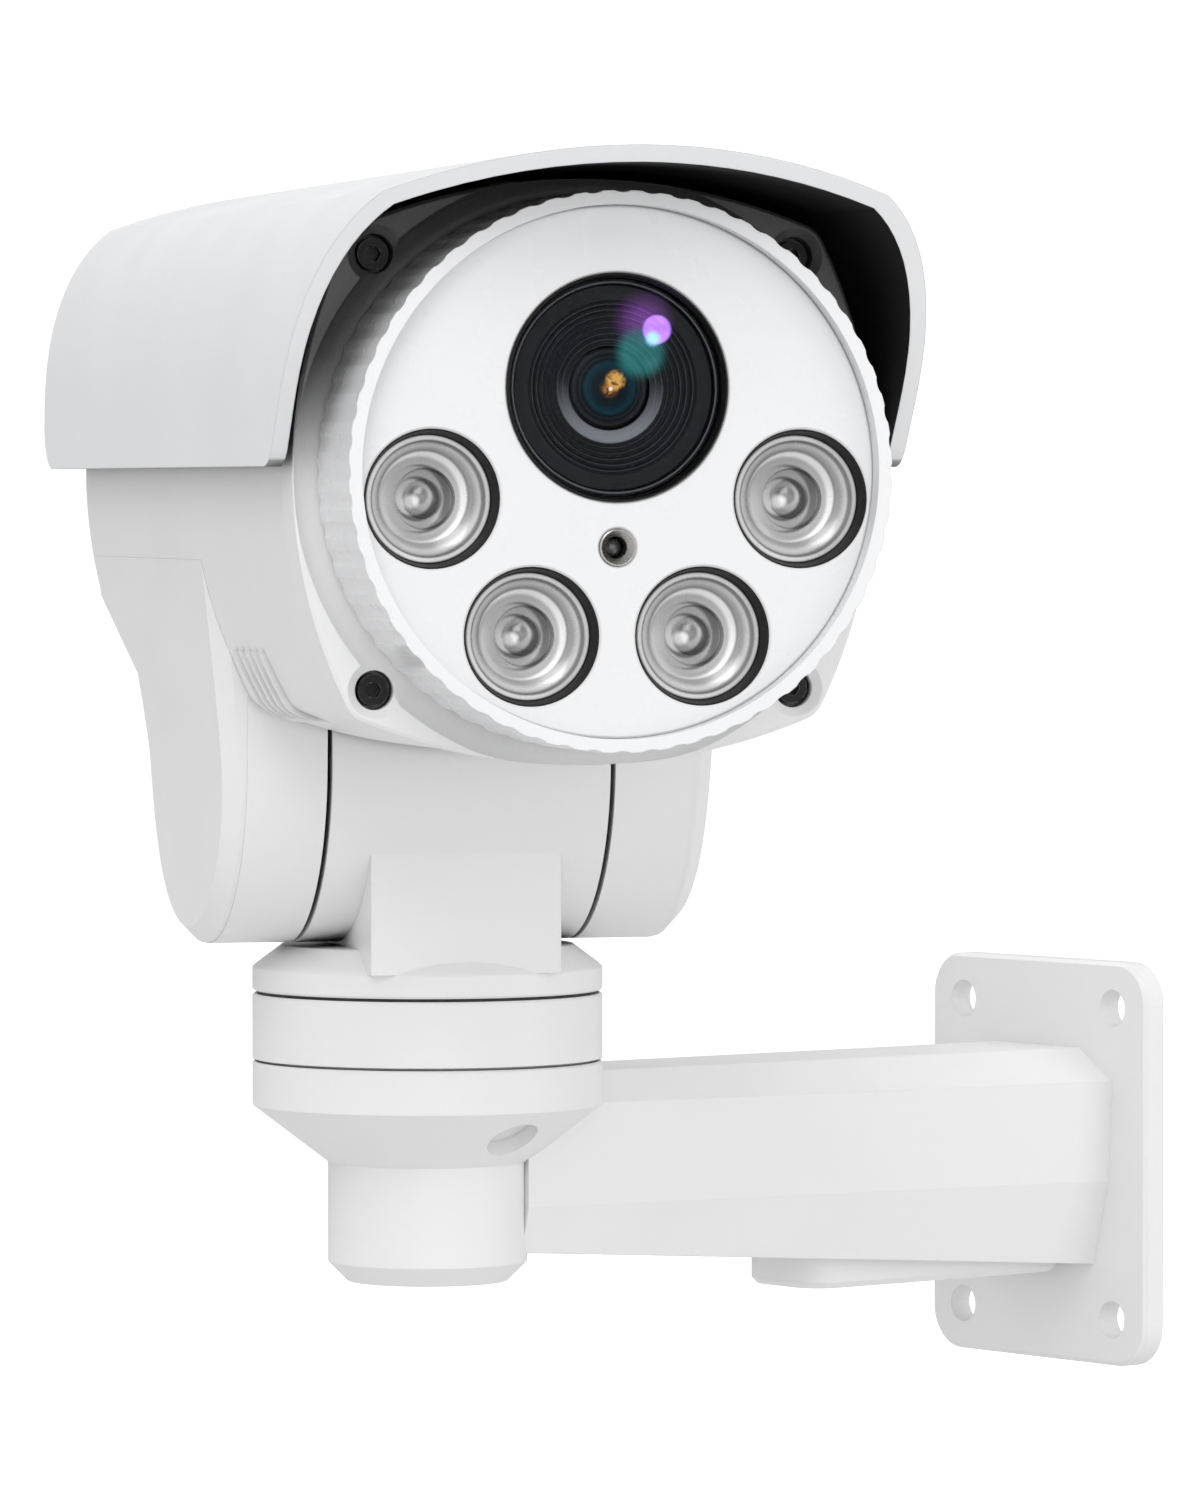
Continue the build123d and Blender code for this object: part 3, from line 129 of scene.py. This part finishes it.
# ---------------------------------------------------------------- node graphs
class Graph:
    """A material's node tree, with a short call for each kind of node used here."""

    def __init__(self, name):
        self.material = bpy.data.materials.new(name)
        self.material.use_nodes = True
        self.tree = self.material.node_tree
        self.bsdf = self.tree.nodes["Principled BSDF"]
        self.output = self.tree.nodes["Material Output"]
        self.coord = self.tree.nodes.new("ShaderNodeTexCoord")
        self.place = self.coord.outputs["Object"]
        self.facing = self.coord.outputs["Normal"]

    def put(self, socket, value):
        if isinstance(value, bpy.types.NodeSocket):
            self.tree.links.new(value, socket)
        elif socket.type == "RGBA" and len(value) == 3:
            socket.default_value = (*value, 1.0)
        else:
            socket.default_value = value

    def node(self, kind, **inputs):
        made = self.tree.nodes.new(kind)
        for name, value in inputs.items():
            self.put(made.inputs[name.replace("_", " ")], value)
        return made

    def math(self, operation, a, b=0.0, clamp=False):
        made = self.tree.nodes.new("ShaderNodeMath")
        made.operation = operation
        made.use_clamp = clamp
        self.put(made.inputs[0], a)
        self.put(made.inputs[1], b)
        return made.outputs[0]

    def times(self, a, b, clamp=False):
        return self.math("MULTIPLY", a, b, clamp)

    def vector(self, operation, a, b=(0.0, 0.0, 0.0)):
        made = self.tree.nodes.new("ShaderNodeVectorMath")
        made.operation = operation
        self.put(made.inputs[0], a)
        self.put(made.inputs[1], b)
        return made.outputs["Value" if operation == "DOT_PRODUCT" else "Vector"]

    def dot(self, a, direction):
        return self.vector("DOT_PRODUCT", a, tuple(direction))

    def scaled(self, direction, amount):
        made = self.tree.nodes.new("ShaderNodeVectorMath")
        made.operation = "SCALE"
        self.put(made.inputs[0], tuple(direction))
        self.put(made.inputs["Scale"], amount)
        return made.outputs[0]

    def noise(self, scale, detail=3.0, roughness=0.5, vector=None, distortion=0.0):
        made = self.node("ShaderNodeTexNoise", Scale=scale, Detail=detail, Roughness=roughness,
                         Distortion=distortion)
        self.put(made.inputs["Vector"], vector or self.place)
        return made.outputs["Fac"]

    def stretch(self, factors):
        return self.vector("MULTIPLY", self.place, factors)

    def span(self, value, low, high, to_low=0.0, to_high=1.0, smooth=False):
        made = self.tree.nodes.new("ShaderNodeMapRange")
        made.interpolation_type = "SMOOTHSTEP" if smooth else "LINEAR"
        for socket, number in zip(made.inputs, (value, low, high, to_low, to_high)):
            self.put(socket, number)
        return made.outputs[0]

    def blend(self, factor, a, b, kind="MIX"):
        made = self.tree.nodes.new("ShaderNodeMix")
        made.data_type = "RGBA"
        made.blend_type = kind
        self.put(made.inputs["Factor"], factor)
        self.put(made.inputs[6], a)
        self.put(made.inputs[7], b)
        return made.outputs[2]

    def ramp(self, factor, stops):
        made = self.tree.nodes.new("ShaderNodeValToRGB")
        elements = made.color_ramp.elements
        while len(elements) < len(stops):
            elements.new(0.5)
        for element, (place, colour) in zip(elements, stops):
            element.position = place
            element.color = (*colour, 1.0)
        self.put(made.inputs["Fac"], factor)
        return made.outputs["Color"]

    def soft_edge(self, radius=EDGE):
        made = self.tree.nodes.new("ShaderNodeBevel")
        made.samples = 4
        made.inputs["Radius"].default_value = radius
        return made.outputs["Normal"]

    def edge_mask(self, radius):
        """1 on sharp edges, 0 on open faces."""
        geometry = self.tree.nodes.new("ShaderNodeNewGeometry")
        bend = self.vector("DOT_PRODUCT", self.soft_edge(radius), geometry.outputs["Normal"])
        return self.span(bend, 0.999, 0.93)

    def crevice(self, distance):
        """0 in the open, higher where surfaces crowd together."""
        made = self.tree.nodes.new("ShaderNodeAmbientOcclusion")
        made.samples = 4
        made.inputs["Distance"].default_value = distance
        return self.math("SUBTRACT", 1.0, made.outputs["AO"], clamp=True)

    def bump(self, height, distance, strength=1.0, normal=None):
        made = self.node("ShaderNodeBump", Height=height, Distance=distance, Strength=strength)
        if normal is not None:
            self.put(made.inputs["Normal"], normal)
        return made.outputs["Normal"]

    def set(self, **inputs):
        for name, value in inputs.items():
            self.put(self.bsdf.inputs[name.replace("_", " ")], value)
        return self.material

    def head_plane(self, centre):
        """Coordinates across the head's front, right and up, from a centre."""
        away = self.vector("SUBTRACT", self.place, tuple(centre))
        return self.dot(away, RIGHT), self.dot(away, UP)

    def distance(self, u, v, at=(0.0, 0.0)):
        du, dv = self.math("SUBTRACT", u, at[0]), self.math("SUBTRACT", v, at[1])
        return self.math("SQRT", self.math("ADD", self.times(du, du), self.times(dv, dv)))

    def spot(self, u, v, at, radius, softness):
        """1 inside a disc, fading to 0 over the outer part of its radius."""
        return self.span(self.distance(u, v, at), radius, radius * (1 - softness), smooth=True)

    def waves(self, value, pitch):
        return self.math("SINE", self.times(value, 2 * math.pi / pitch))


def tint(colour, factor):
    return tuple(channel * factor for channel in colour)


# ---------------------------------------------------------------- coats and plastics
def coat_layers(g, colour, dirt_and_shade_amount=0.14, nook=NOOK):
    """Powder coat: slow mottling, fine settled dust, dirt and painted shade in crevices, and
    painted black shade in closed seams.
    """
    mottle = g.noise(22, 5, 0.6)
    specks = g.span(g.noise(2600, 2, 0.7), 0.70, 0.78)
    base = g.blend(g.span(mottle, 0.3, 0.7), tint(colour, 0.972), colour)
    base = g.blend(g.times(specks, 0.10), base, tint(colour, 0.55))
    shut = g.crevice(nook)
    # darker in crevices: part dirt, part painted shade
    dirt_and_shade = g.times(g.span(shut, 0.35, 1.0), g.span(g.noise(240, 4), 0.2, 0.8, 0.5, 1.0))
    base = g.blend(g.times(dirt_and_shade, dirt_and_shade_amount), base, (0.33, 0.325, 0.31))
    # painted shade: near black where surfaces close in, in seams and recesses
    return g.blend(g.span(shut, 0.84, 0.97), base, (0.02, 0.02, 0.02))


def hood_shade(g, colour, reach=HOOD_REACH, depth=0.90):
    """Painted shade: darker where the hood, painted black inside as shade, closes a surface in,
    from mid-height up.
    """
    height = g.dot(g.vector("SUBTRACT", g.place, tuple(HEAD_POINT)), UP)
    under = g.span(height, -0.004, 0.024, smooth=True)
    dark = g.times(g.times(g.span(g.crevice(reach), 0.10, 0.62), under), depth)
    return g.blend(dark, colour, (0.012, 0.012, 0.013))


def peel_normal(g, radius=EDGE):
    ripple = g.noise(1100, 2, 0.4)
    grit = g.noise(4200, 1, 0.5)
    height = g.math("ADD", ripple, g.times(grit, 0.35))
    return g.bump(height, PEEL, 0.5, g.soft_edge(radius))


def powder_coat(name, radius=EDGE, hooded=False, ribbed=False):
    g = Graph(name)
    base = coat_layers(g, WHITE, nook=RIB_NOOK if ribbed else NOOK)
    if ribbed:
        # painted shade: darker between the ribs, where surfaces crowd together
        base = g.blend(g.span(g.crevice(RIB_NOOK), 0.15, 0.6, 0.0, 0.45), base, tint(WHITE, 0.35))
    if hooded:
        base = hood_shade(g, base)
    sheen = g.span(g.noise(45, 4, 0.6), 0.3, 0.7, 0.31, 0.42)
    return g.set(Base_Color=base, Roughness=sheen, Normal=peel_normal(g, radius),
                 Specular_IOR_Level=0.45)


def moulded_plastic(name, colour, roughness=0.28, hooded=False):
    g = Graph(name)
    flow = g.noise(30, 4, 0.55, g.stretch((1.0, 1.0, 2.5)), 0.4)
    base = g.blend(g.span(flow, 0.3, 0.7), tint(colour, 0.985), colour)
    # painted shade: darker in crevices
    base = g.blend(g.times(g.span(g.crevice(0.004), 0.3, 1.0), 0.07), base, tint(colour, 0.35))
    if hooded:
        base = hood_shade(g, base, CAP_REACH, 0.25)
    sheen = g.span(g.noise(70, 3), 0.3, 0.7, roughness - 0.04, roughness + 0.05)
    grain = g.noise(2300, 2, 0.5)
    return g.set(Base_Color=base, Roughness=sheen, Specular_IOR_Level=0.5,
                 Normal=g.bump(grain, 0.00002, 0.35, g.soft_edge(0.0003)))


def shield_paint(name):
    """White outside and along the cut edges; matt black on the faces that look in at the head, as
    painted shade.
    """
    g = Graph(name)
    axis_point = Vector((PAN_POINT.x, PAN_POINT.y, HEAD_POINT.z - 0.02))
    away = g.vector("SUBTRACT", g.place, tuple(axis_point))
    along = g.scaled(FORWARD, g.dot(away, FORWARD))
    radial = g.vector("NORMALIZE", g.vector("SUBTRACT", away, along))
    inward = g.span(g.vector("DOT_PRODUCT", radial, g.facing), -0.25, -0.35)
    end_face = g.math("ABSOLUTE", g.dot(g.facing, FORWARD))
    inward = g.times(inward, g.span(end_face, 0.6, 0.5))
    coat = coat_layers(g, SHIELD_WHITE, 0.15)
    dust = g.span(g.noise(900, 4, 0.7), 0.5, 0.75)
    # painted shade: near black inside the hood, lightened here and there by dust
    shaded_inside = g.blend(g.times(dust, 0.5), SHADE_BLACK, tint(SHADE_BLACK, 2.2))
    sheen = g.span(g.noise(40, 4), 0.3, 0.7, 0.30, 0.40)
    return g.set(Base_Color=g.blend(inward, coat, shaded_inside), Specular_IOR_Level=0.4,
                 Roughness=g.span(inward, 0, 1, sheen, 0.62), Normal=peel_normal(g, 0.0005))


def black_plastic(name, colour, roughness):
    g = Graph(name)
    cloud = g.noise(60, 5, 0.6)
    base = g.blend(g.span(cloud, 0.3, 0.7), colour, tint(colour, 1.7))
    base = g.blend(g.times(g.edge_mask(0.0004), 0.08), base, (0.12, 0.12, 0.12))
    return g.set(Base_Color=base, Specular_IOR_Level=0.25,
                 Roughness=g.span(cloud, 0.3, 0.7, roughness, roughness + 0.1),
                 Normal=g.bump(g.noise(1900, 2), 0.00003, 0.4, g.soft_edge(0.0002)))


def rubber(name):
    g = Graph(name)
    bloom = g.span(g.noise(300, 5, 0.7), 0.45, 0.8)
    base = g.blend(g.times(bloom, 0.35), (0.018, 0.018, 0.018), (0.16, 0.16, 0.155))
    return g.set(Base_Color=base, Roughness=g.span(bloom, 0, 1, 0.6, 0.8),
                 Normal=g.bump(g.noise(1500, 3), 0.00006, 0.6, g.soft_edge(0.0003)))


# ---------------------------------------------------------------- metals
def turned_metal(name, colour, roughness, stretch=(1.0, 1.0, 40.0), tarnish=0.3):
    g = Graph(name)
    lines = g.noise(160, 4, 0.7, g.stretch(stretch))
    stain = g.span(g.noise(90, 5, 0.65), 0.45, 0.75)
    base = g.blend(g.times(stain, tarnish), colour, tint(colour, 0.5))
    base = g.blend(g.times(g.edge_mask(0.0003), 0.4), base, tint(colour, 1.2))
    sheen = g.span(lines, 0.3, 0.7, roughness - 0.06, roughness + 0.1)
    rough = g.math("ADD", sheen, g.times(stain, 0.12))
    return g.set(Base_Color=base, Metallic=1.0, Roughness=rough,
                 Normal=g.bump(lines, 0.00002, 0.5, g.soft_edge(0.00015)))


def black_oxide(name):
    g = Graph(name)
    worn = g.times(g.edge_mask(0.0003), g.span(g.noise(900, 4), 0.4, 0.7))
    base = g.blend(worn, (0.010, 0.010, 0.011), (0.30, 0.30, 0.31))
    return g.set(Base_Color=base, Metallic=0.6,
                 Roughness=g.span(g.noise(500, 4), 0.3, 0.7, 0.28, 0.45),
                 Normal=g.bump(g.noise(2400, 2), 0.00003, 0.5, g.soft_edge(0.0002)))


# ---------------------------------------------------------------- lens and lights
def ringed_black(name):
    """Blackened barrel, from outside in: lip with a painted highlight, black rim, plain band,
    rings, grey collar with a painted highlight low down.
    """
    g = Graph(name)
    u, v = g.head_plane(LENS_POINT)
    r = g.distance(u, v)
    grooves = g.waves(r, RING_PITCH)
    ringed = g.span(r, BAND_IN, BAND_IN - 0.0002)
    height = g.math("ADD", g.times(g.times(grooves, ringed), 0.5), g.times(g.noise(1800, 2), 0.4))
    # painted highlight: the grey collar is lighter on its lower side only
    low = g.span(v, 0.003, -0.010, 0.0, 1.0, smooth=True)
    collar = g.times(g.span(r, COLLAR_IN, COLLAR_IN + 0.0004, smooth=True),
                     g.span(r, COLLAR_OUT, COLLAR_OUT - 0.0004, smooth=True))
    line = g.span(g.waves(r, LINE_PITCH), 0.90, 0.99)
    base = g.blend(ringed, (0.013, 0.013, 0.0132), (0.004, 0.004, 0.0042))
    base = g.blend(g.times(g.times(line, ringed), 0.35), base, (0.16, 0.16, 0.165))
    base = g.blend(g.times(collar, low), base, (0.22, 0.22, 0.225))
    base = g.blend(g.span(r, RIM_IN, RIM_IN + 0.0002), base, (0.002, 0.002, 0.002))
    # painted highlight: a thin lighter ring on the lip
    lip = g.times(g.span(r, LIP_IN, LIP_IN + 0.0001), g.span(r, LIP_OUT, LIP_OUT - 0.0001))
    base = g.blend(g.times(lip, 0.6), base, (0.20, 0.20, 0.20))
    return g.set(Base_Color=base, Specular_IOR_Level=0.16,
                 Roughness=g.span(grooves, -1, 1, 0.38, 0.50),
                 Normal=g.bump(height, 0.00005, 0.6, g.soft_edge(0.0001)))


def coated_glass(name):
    """Lens window: clear, with a faint reflecting skin and coloured reflections of its coatings
    painted on as glowing spots.
    """
    g = Graph(name)
    u, v = g.head_plane(LENS_POINT)
    ripple = g.span(g.noise(420, 3, 0.6), 0.25, 0.75, 0.65, 1.15)
    # painted reflections: coloured spots that glow through emission
    glow = (0.0, 0.0, 0.0)
    for at, radius, softness, colour in PAINTED_WINDOW_REFLECTIONS:
        spot = g.spot(u, v, at, radius, softness)
        glow = g.blend(g.times(spot, ripple, clamp=True), glow, colour)
    rough = g.span(g.noise(160, 4, 0.6), 0.3, 0.8, 0.015, 0.05)
    glossy = g.node("ShaderNodeBsdfGlossy", Roughness=rough, Color=(0.85, 0.86, 0.90))
    see = g.node("ShaderNodeBsdfTransparent", Color=(0.93, 0.95, 0.97))
    reflection_glow = g.node("ShaderNodeEmission", Color=glow, Strength=1.0)
    fresnel = g.node("ShaderNodeFresnel", IOR=1.2)
    skin = g.tree.nodes.new("ShaderNodeMixShader")
    g.put(skin.inputs[0], g.times(fresnel.outputs[0], 0.05))
    g.put(skin.inputs[1], see.outputs[0])
    g.put(skin.inputs[2], glossy.outputs[0])
    total = g.tree.nodes.new("ShaderNodeAddShader")
    g.put(total.inputs[0], skin.outputs[0])
    g.put(total.inputs[1], reflection_glow.outputs[0])
    g.put(g.output.inputs["Surface"], total.outputs[0])
    return g.material


def deep_lens(name):
    """The dark front element, with painted reflections: an amber heart that glows and a teal ring.
    """
    g = Graph(name)
    u, v = g.head_plane(LENS_POINT)
    depth = g.ramp(g.times(g.distance(u, v), 1 / ELEMENT_R), ELEMENT_TONE_AND_REFLECTIONS)
    # painted reflections: amber, ember and spark glow through emission
    amber = g.span(g.distance(u, v, (0.0010, 0.0013)), 0.0022, 0.0012, smooth=True)
    amber = g.times(amber, g.span(g.noise(900, 2, 0.6), 0.30, 0.52))
    ember = g.span(g.distance(u, v, (-0.0002, -0.0004)), 0.0017, 0.0004, smooth=True)
    ember = g.times(ember, g.span(g.noise(1400, 2, 0.6), 0.42, 0.60))
    spark = g.span(g.distance(u, v, (0.0001, -0.0002)), 0.0005, 0.0002, smooth=True)
    painted_glints = g.blend(amber, (0, 0, 0), (0.80, 0.42, 0.10))
    painted_glints = g.blend(ember, painted_glints, (0.55, 0.20, 0.04))
    painted_glints = g.blend(spark, painted_glints, (1.0, 0.92, 0.75))
    return g.set(Base_Color=depth, Roughness=0.30, Specular_IOR_Level=0.12, Emission_Color=painted_glints,
                 Emission_Strength=0.9, Normal=g.bump(g.noise(200, 2), 0.00001, 0.2))


def reflector(name):
    """Silvered light optics: rim, bowl, inner step and bead, painted as grey rings of reflection
    and shade, each deeper and so further aside.
    """
    g = Graph(name)
    u, v = g.head_plane(HEAD_POINT)
    local_u = local_v = 0.0
    for at in LED_PLACES:
        inside = g.span(g.distance(u, v, at), LED_REACH, LED_REACH - 0.0001)
        local_u = g.math("ADD", local_u, g.times(inside, g.math("SUBTRACT", u, at[0])))
        local_v = g.math("ADD", local_v, g.times(inside, g.math("SUBTRACT", v, at[1])))
    tone = (0.16, 0.16, 0.16)
    # painted reflections and shade: grey discs from rim to bead
    for at, radius, softness, grey in BOWL_REFLECTION_DISCS:
        disc = g.spot(local_u, local_v, at, radius, softness)
        tone = g.blend(disc, tone, (grey, grey, grey))
    cloud = g.span(g.noise(110, 2, 0.4), 0.3, 0.7, 0.93, 1.06)
    grey_cloud = g.node("ShaderNodeCombineColor", Red=cloud, Green=cloud, Blue=cloud)
    base = g.blend(1.0, tone, grey_cloud.outputs[0], "MULTIPLY")
    turned = g.waves(g.distance(local_u, local_v, (-0.001, 0)), BOWL_TURNING)
    return g.set(Base_Color=base, Metallic=0.35, Coat_Weight=0.35, Coat_Roughness=0.06,
                 Roughness=g.span(g.noise(200, 3), 0.3, 0.7, 0.24, 0.32),
                 Normal=g.bump(turned, 0.00006, 0.4))


def smoked_dome(name):
    g = Graph(name)
    u, v = g.head_plane(EYE_POINT)
    base = g.ramp(g.times(g.distance(u, v), 1 / DOME_R), [
        (0.0, (0.10, 0.10, 0.10)), (0.35, (0.02, 0.02, 0.02)), (1.0, (0.004, 0.004, 0.004))])
    return g.set(Base_Color=base, Coat_Weight=1.0,
                 Roughness=g.span(g.noise(800, 2), 0.3, 0.7, 0.06, 0.12),
                 Normal=g.bump(g.noise(900, 2), 0.00001, 0.3))


# ---------------------------------------------------------------- electronics
def circuit_board(name):
    g = Graph(name)
    cells = g.tree.nodes.new("ShaderNodeTexVoronoi")
    cells.feature = "DISTANCE_TO_EDGE"
    cells.inputs["Scale"].default_value = 320
    g.put(cells.inputs["Vector"], g.place)
    track = g.span(cells.outputs["Distance"], 0.06, 0.03)
    base = g.blend(track, (0.010, 0.085, 0.035), (0.02, 0.16, 0.07))
    pads = g.span(g.noise(1300, 1), 0.68, 0.72)
    base = g.blend(pads, base, (0.70, 0.62, 0.40))
    return g.set(Base_Color=base, Metallic=g.times(pads, 0.8),
                 Roughness=g.span(pads, 0, 1, 0.35, 0.2),
                 Normal=g.bump(track, 0.00004, 0.5, g.soft_edge(0.0001)))


def chip_body(name):
    g = Graph(name)
    mould = g.noise(700, 4, 0.6)
    base = g.blend(g.span(mould, 0.3, 0.7), (0.02, 0.02, 0.022), (0.045, 0.045, 0.048))
    return g.set(Base_Color=base, Roughness=g.span(mould, 0.3, 0.7, 0.5, 0.65),
                 Normal=g.bump(g.noise(3200, 2), 0.00003, 0.5, g.soft_edge(0.0002)))


def light_chip(name):
    g = Graph(name)
    bloom = g.noise(900, 3)
    base = g.blend(bloom, (0.75, 0.68, 0.35), (0.55, 0.46, 0.22))
    return g.set(Base_Color=base, Roughness=0.4,
                 Normal=g.bump(bloom, 0.00003, 0.5, g.soft_edge(0.0002)))


# ---------------------------------------------------------------- who wears what
MATERIALS = {
    powder_coat("white_coat"): [
        "wall_bracket", "cable_hatch", "base_ring", "turret_yoke", "barrel_end_cap",
        "service_cover", "shield_spacers"],
    powder_coat("panel_coat", PANEL_EDGE): ["ear_cover_left", "ear_cover_right"],
    powder_coat("ribbed_coat", RIB_EDGE, ribbed=True): ["head_housing"],
    powder_coat("hooded_coat", hooded=True): ["front_frame"],
    shield_paint("shield_coat"): ["sun_shield"],
    moulded_plastic("face_white", FACE_WHITE): ["face_plate"],
    moulded_plastic("cap_white", CAP_WHITE, hooded=True): ["front_cap"],
    moulded_plastic("acetal", ACETAL, 0.42): ["pan_gear", "tilt_gear"],
    black_plastic("cup_black", (0.003, 0.003, 0.003), 0.35): ["led_cups"],
    black_plastic("bezel_black", (0.002, 0.002, 0.002), 0.25): ["lens_bezel"],
    black_plastic("inner_black", (0.014, 0.014, 0.015), 0.45): [
        "lens_tube", "filter_carrier", "filter_shuttle", "board_posts"],
    ringed_black("barrel_black"): ["zoom_barrel"],
    coated_glass("window_glass"): ["lens_window"],
    deep_lens("element_glass"): ["front_element", "rear_element"],
    reflector("light_silver"): ["led_optics"],
    smoked_dome("sensor_dome"): ["light_sensor"],
    circuit_board("board_green"): ["led_board", "sensor_board", "main_board"],
    chip_body("chip_black"): ["board_chips", "image_sensor"],
    light_chip("light_chip"): ["led_chips"],
    black_oxide("screw_black"): ["frame_screws"],
    turned_metal("steel", STEEL, 0.28): [
        "hatch_screws", "base_screws", "service_screws", "shield_screws", "bearing_outer_race",
        "bearing_inner_race", "bearing_balls", "pan_shaft", "pan_shaft_nut", "tilt_axle_left",
        "tilt_axle_right", "pan_motor", "tilt_motor", "zoom_drive", "guide_rod"],
    turned_metal("sensor_steel", SENSOR_STEEL, 0.22): ["light_sensor_bezel"],
    turned_metal("brass", BRASS, 0.30): [
        "tilt_bush_left", "tilt_bush_right", "pan_pinion", "tilt_pinion"],
    turned_metal("aluminium", ALUMINIUM, 0.35, (60.0, 1.0, 1.0), 0.15): ["lens_mount"],
    rubber("seal_rubber"): ["pan_seal", "frame_gasket", "main_cable"],
}
for material, nodes in MATERIALS.items():
    for node in nodes:
        shown = frame["nodes"][node]
        shown.data.materials.clear()
        shown.data.materials.append(material)


# ---------------------------------------------------------------- floor, light and camera
VIEW_AZIMUTH, VIEW_PITCH = math.radians(51), math.radians(1.75)
VIEW_OUT = Vector((math.sin(VIEW_AZIMUTH), -math.cos(VIEW_AZIMUTH), 0))
VIEW_RIGHT = Vector((math.cos(VIEW_AZIMUTH), math.sin(VIEW_AZIMUTH), 0))


def studio_material():
    """Pale paper that also glows a little, to the camera only."""
    g = Graph("studio_paper")
    paper = g.noise(3, 3, 0.5)
    rays = g.tree.nodes.new("ShaderNodeLightPath")
    base = g.blend(g.span(paper, 0.3, 0.7), (0.66, 0.66, 0.66), (0.70, 0.70, 0.70))
    return g.set(Base_Color=base, Roughness=0.9, Specular_IOR_Level=0.0,
                 Normal=g.bump(g.noise(400, 2), 0.0002, 0.1), Emission_Color=(1.0, 1.0, 1.0),
                 Emission_Strength=g.times(rays.outputs["Is Camera Ray"], PAPER_GLOW))


def build_sweep():
    """A pale floor that curves up behind the object."""
    floor_z, bend, back, reach, width, wall_rise, steps = -0.16, 1.2, 2.6, 3.0, 6.0, 3.0, 16
    profile = [(-reach, 0.0)]
    profile += [(back + bend * math.sin(a), bend * (1 - math.cos(a)))
                for a in (math.pi / 2 * i / steps for i in range(steps + 1))]
    profile.append((back + bend, bend + wall_rise))
    into = VIEW_OUT * -1
    across = Vector((-into.y, into.x, 0))
    verts, faces = [], []
    for d, z in profile:
        for s in (-1, 1):
            spot = into * d + across * (s * width)
            verts.append((spot.x, spot.y + PAN_POINT.y, floor_z + z))
    for i in range(len(profile) - 1):
        faces.append((2 * i, 2 * i + 1, 2 * i + 3, 2 * i + 2))
    mesh = bpy.data.meshes.new("studio_floor")
    mesh.from_pydata(verts, [], faces)
    mesh.polygons.foreach_set("use_smooth", [True] * len(faces))
    floor = bpy.data.objects.new("studio_floor", mesh)
    bpy.context.scene.collection.objects.link(floor)
    mesh.materials.append(studio_material())


def area_light(name, out, right, up, size, power):
    """A soft light placed from the camera's side of the object: out towards it, right and up."""
    data = bpy.data.lights.new(name, "AREA")
    data.shape = "RECTANGLE"
    data.size, data.size_y = size
    data.energy = power
    lamp = bpy.data.objects.new(name, data)
    bpy.context.scene.collection.objects.link(lamp)
    lamp.location = HEAD_POINT + VIEW_OUT * out + VIEW_RIGHT * right + UP * up
    lamp.rotation_euler = (HEAD_POINT - lamp.location).to_track_quat("-Z", "Y").to_euler()


def build_camera():
    """The photograph's view: nearly level, with the head pointing 15 degrees to its right."""
    distance, shift_right, height = 1.65, 0.0337, 0.138
    data = bpy.data.cameras.new("camera")
    data.lens = 203.0
    data.sensor_width = 36.0
    data.clip_end = 50.0
    camera = bpy.data.objects.new("camera", data)
    bpy.context.scene.collection.objects.link(camera)
    spot = Vector((PAN_POINT.x, PAN_POINT.y, 0)) + VIEW_OUT * distance + VIEW_RIGHT * shift_right
    camera.location = (spot.x, spot.y, height)
    camera.rotation_euler = (math.pi / 2 - VIEW_PITCH, 0, VIEW_AZIMUTH)
    bpy.context.scene.camera = camera


def build_world():
    """An even white world, a little dimmer as a light than it looks to the camera."""
    world = bpy.data.worlds.new("studio")
    world.use_nodes = True
    sky = world.node_tree.nodes["Background"]
    sky.inputs["Color"].default_value = (1.0, 1.0, 1.0, 1.0)
    rays = world.node_tree.nodes.new("ShaderNodeLightPath").outputs["Is Camera Ray"]
    glow = world.node_tree.nodes.new("ShaderNodeMapRange")
    glow.inputs["To Min"].default_value = SKY_LIGHT
    glow.inputs["To Max"].default_value = 1.0
    world.node_tree.links.new(rays, glow.inputs["Value"])
    world.node_tree.links.new(glow.outputs["Result"], sky.inputs["Strength"])
    bpy.context.scene.world = world


build_sweep()
build_camera()
build_world()
for lamp in LAMPS:
    area_light(*lamp)
bpy.context.scene.view_settings.view_transform = "Standard"
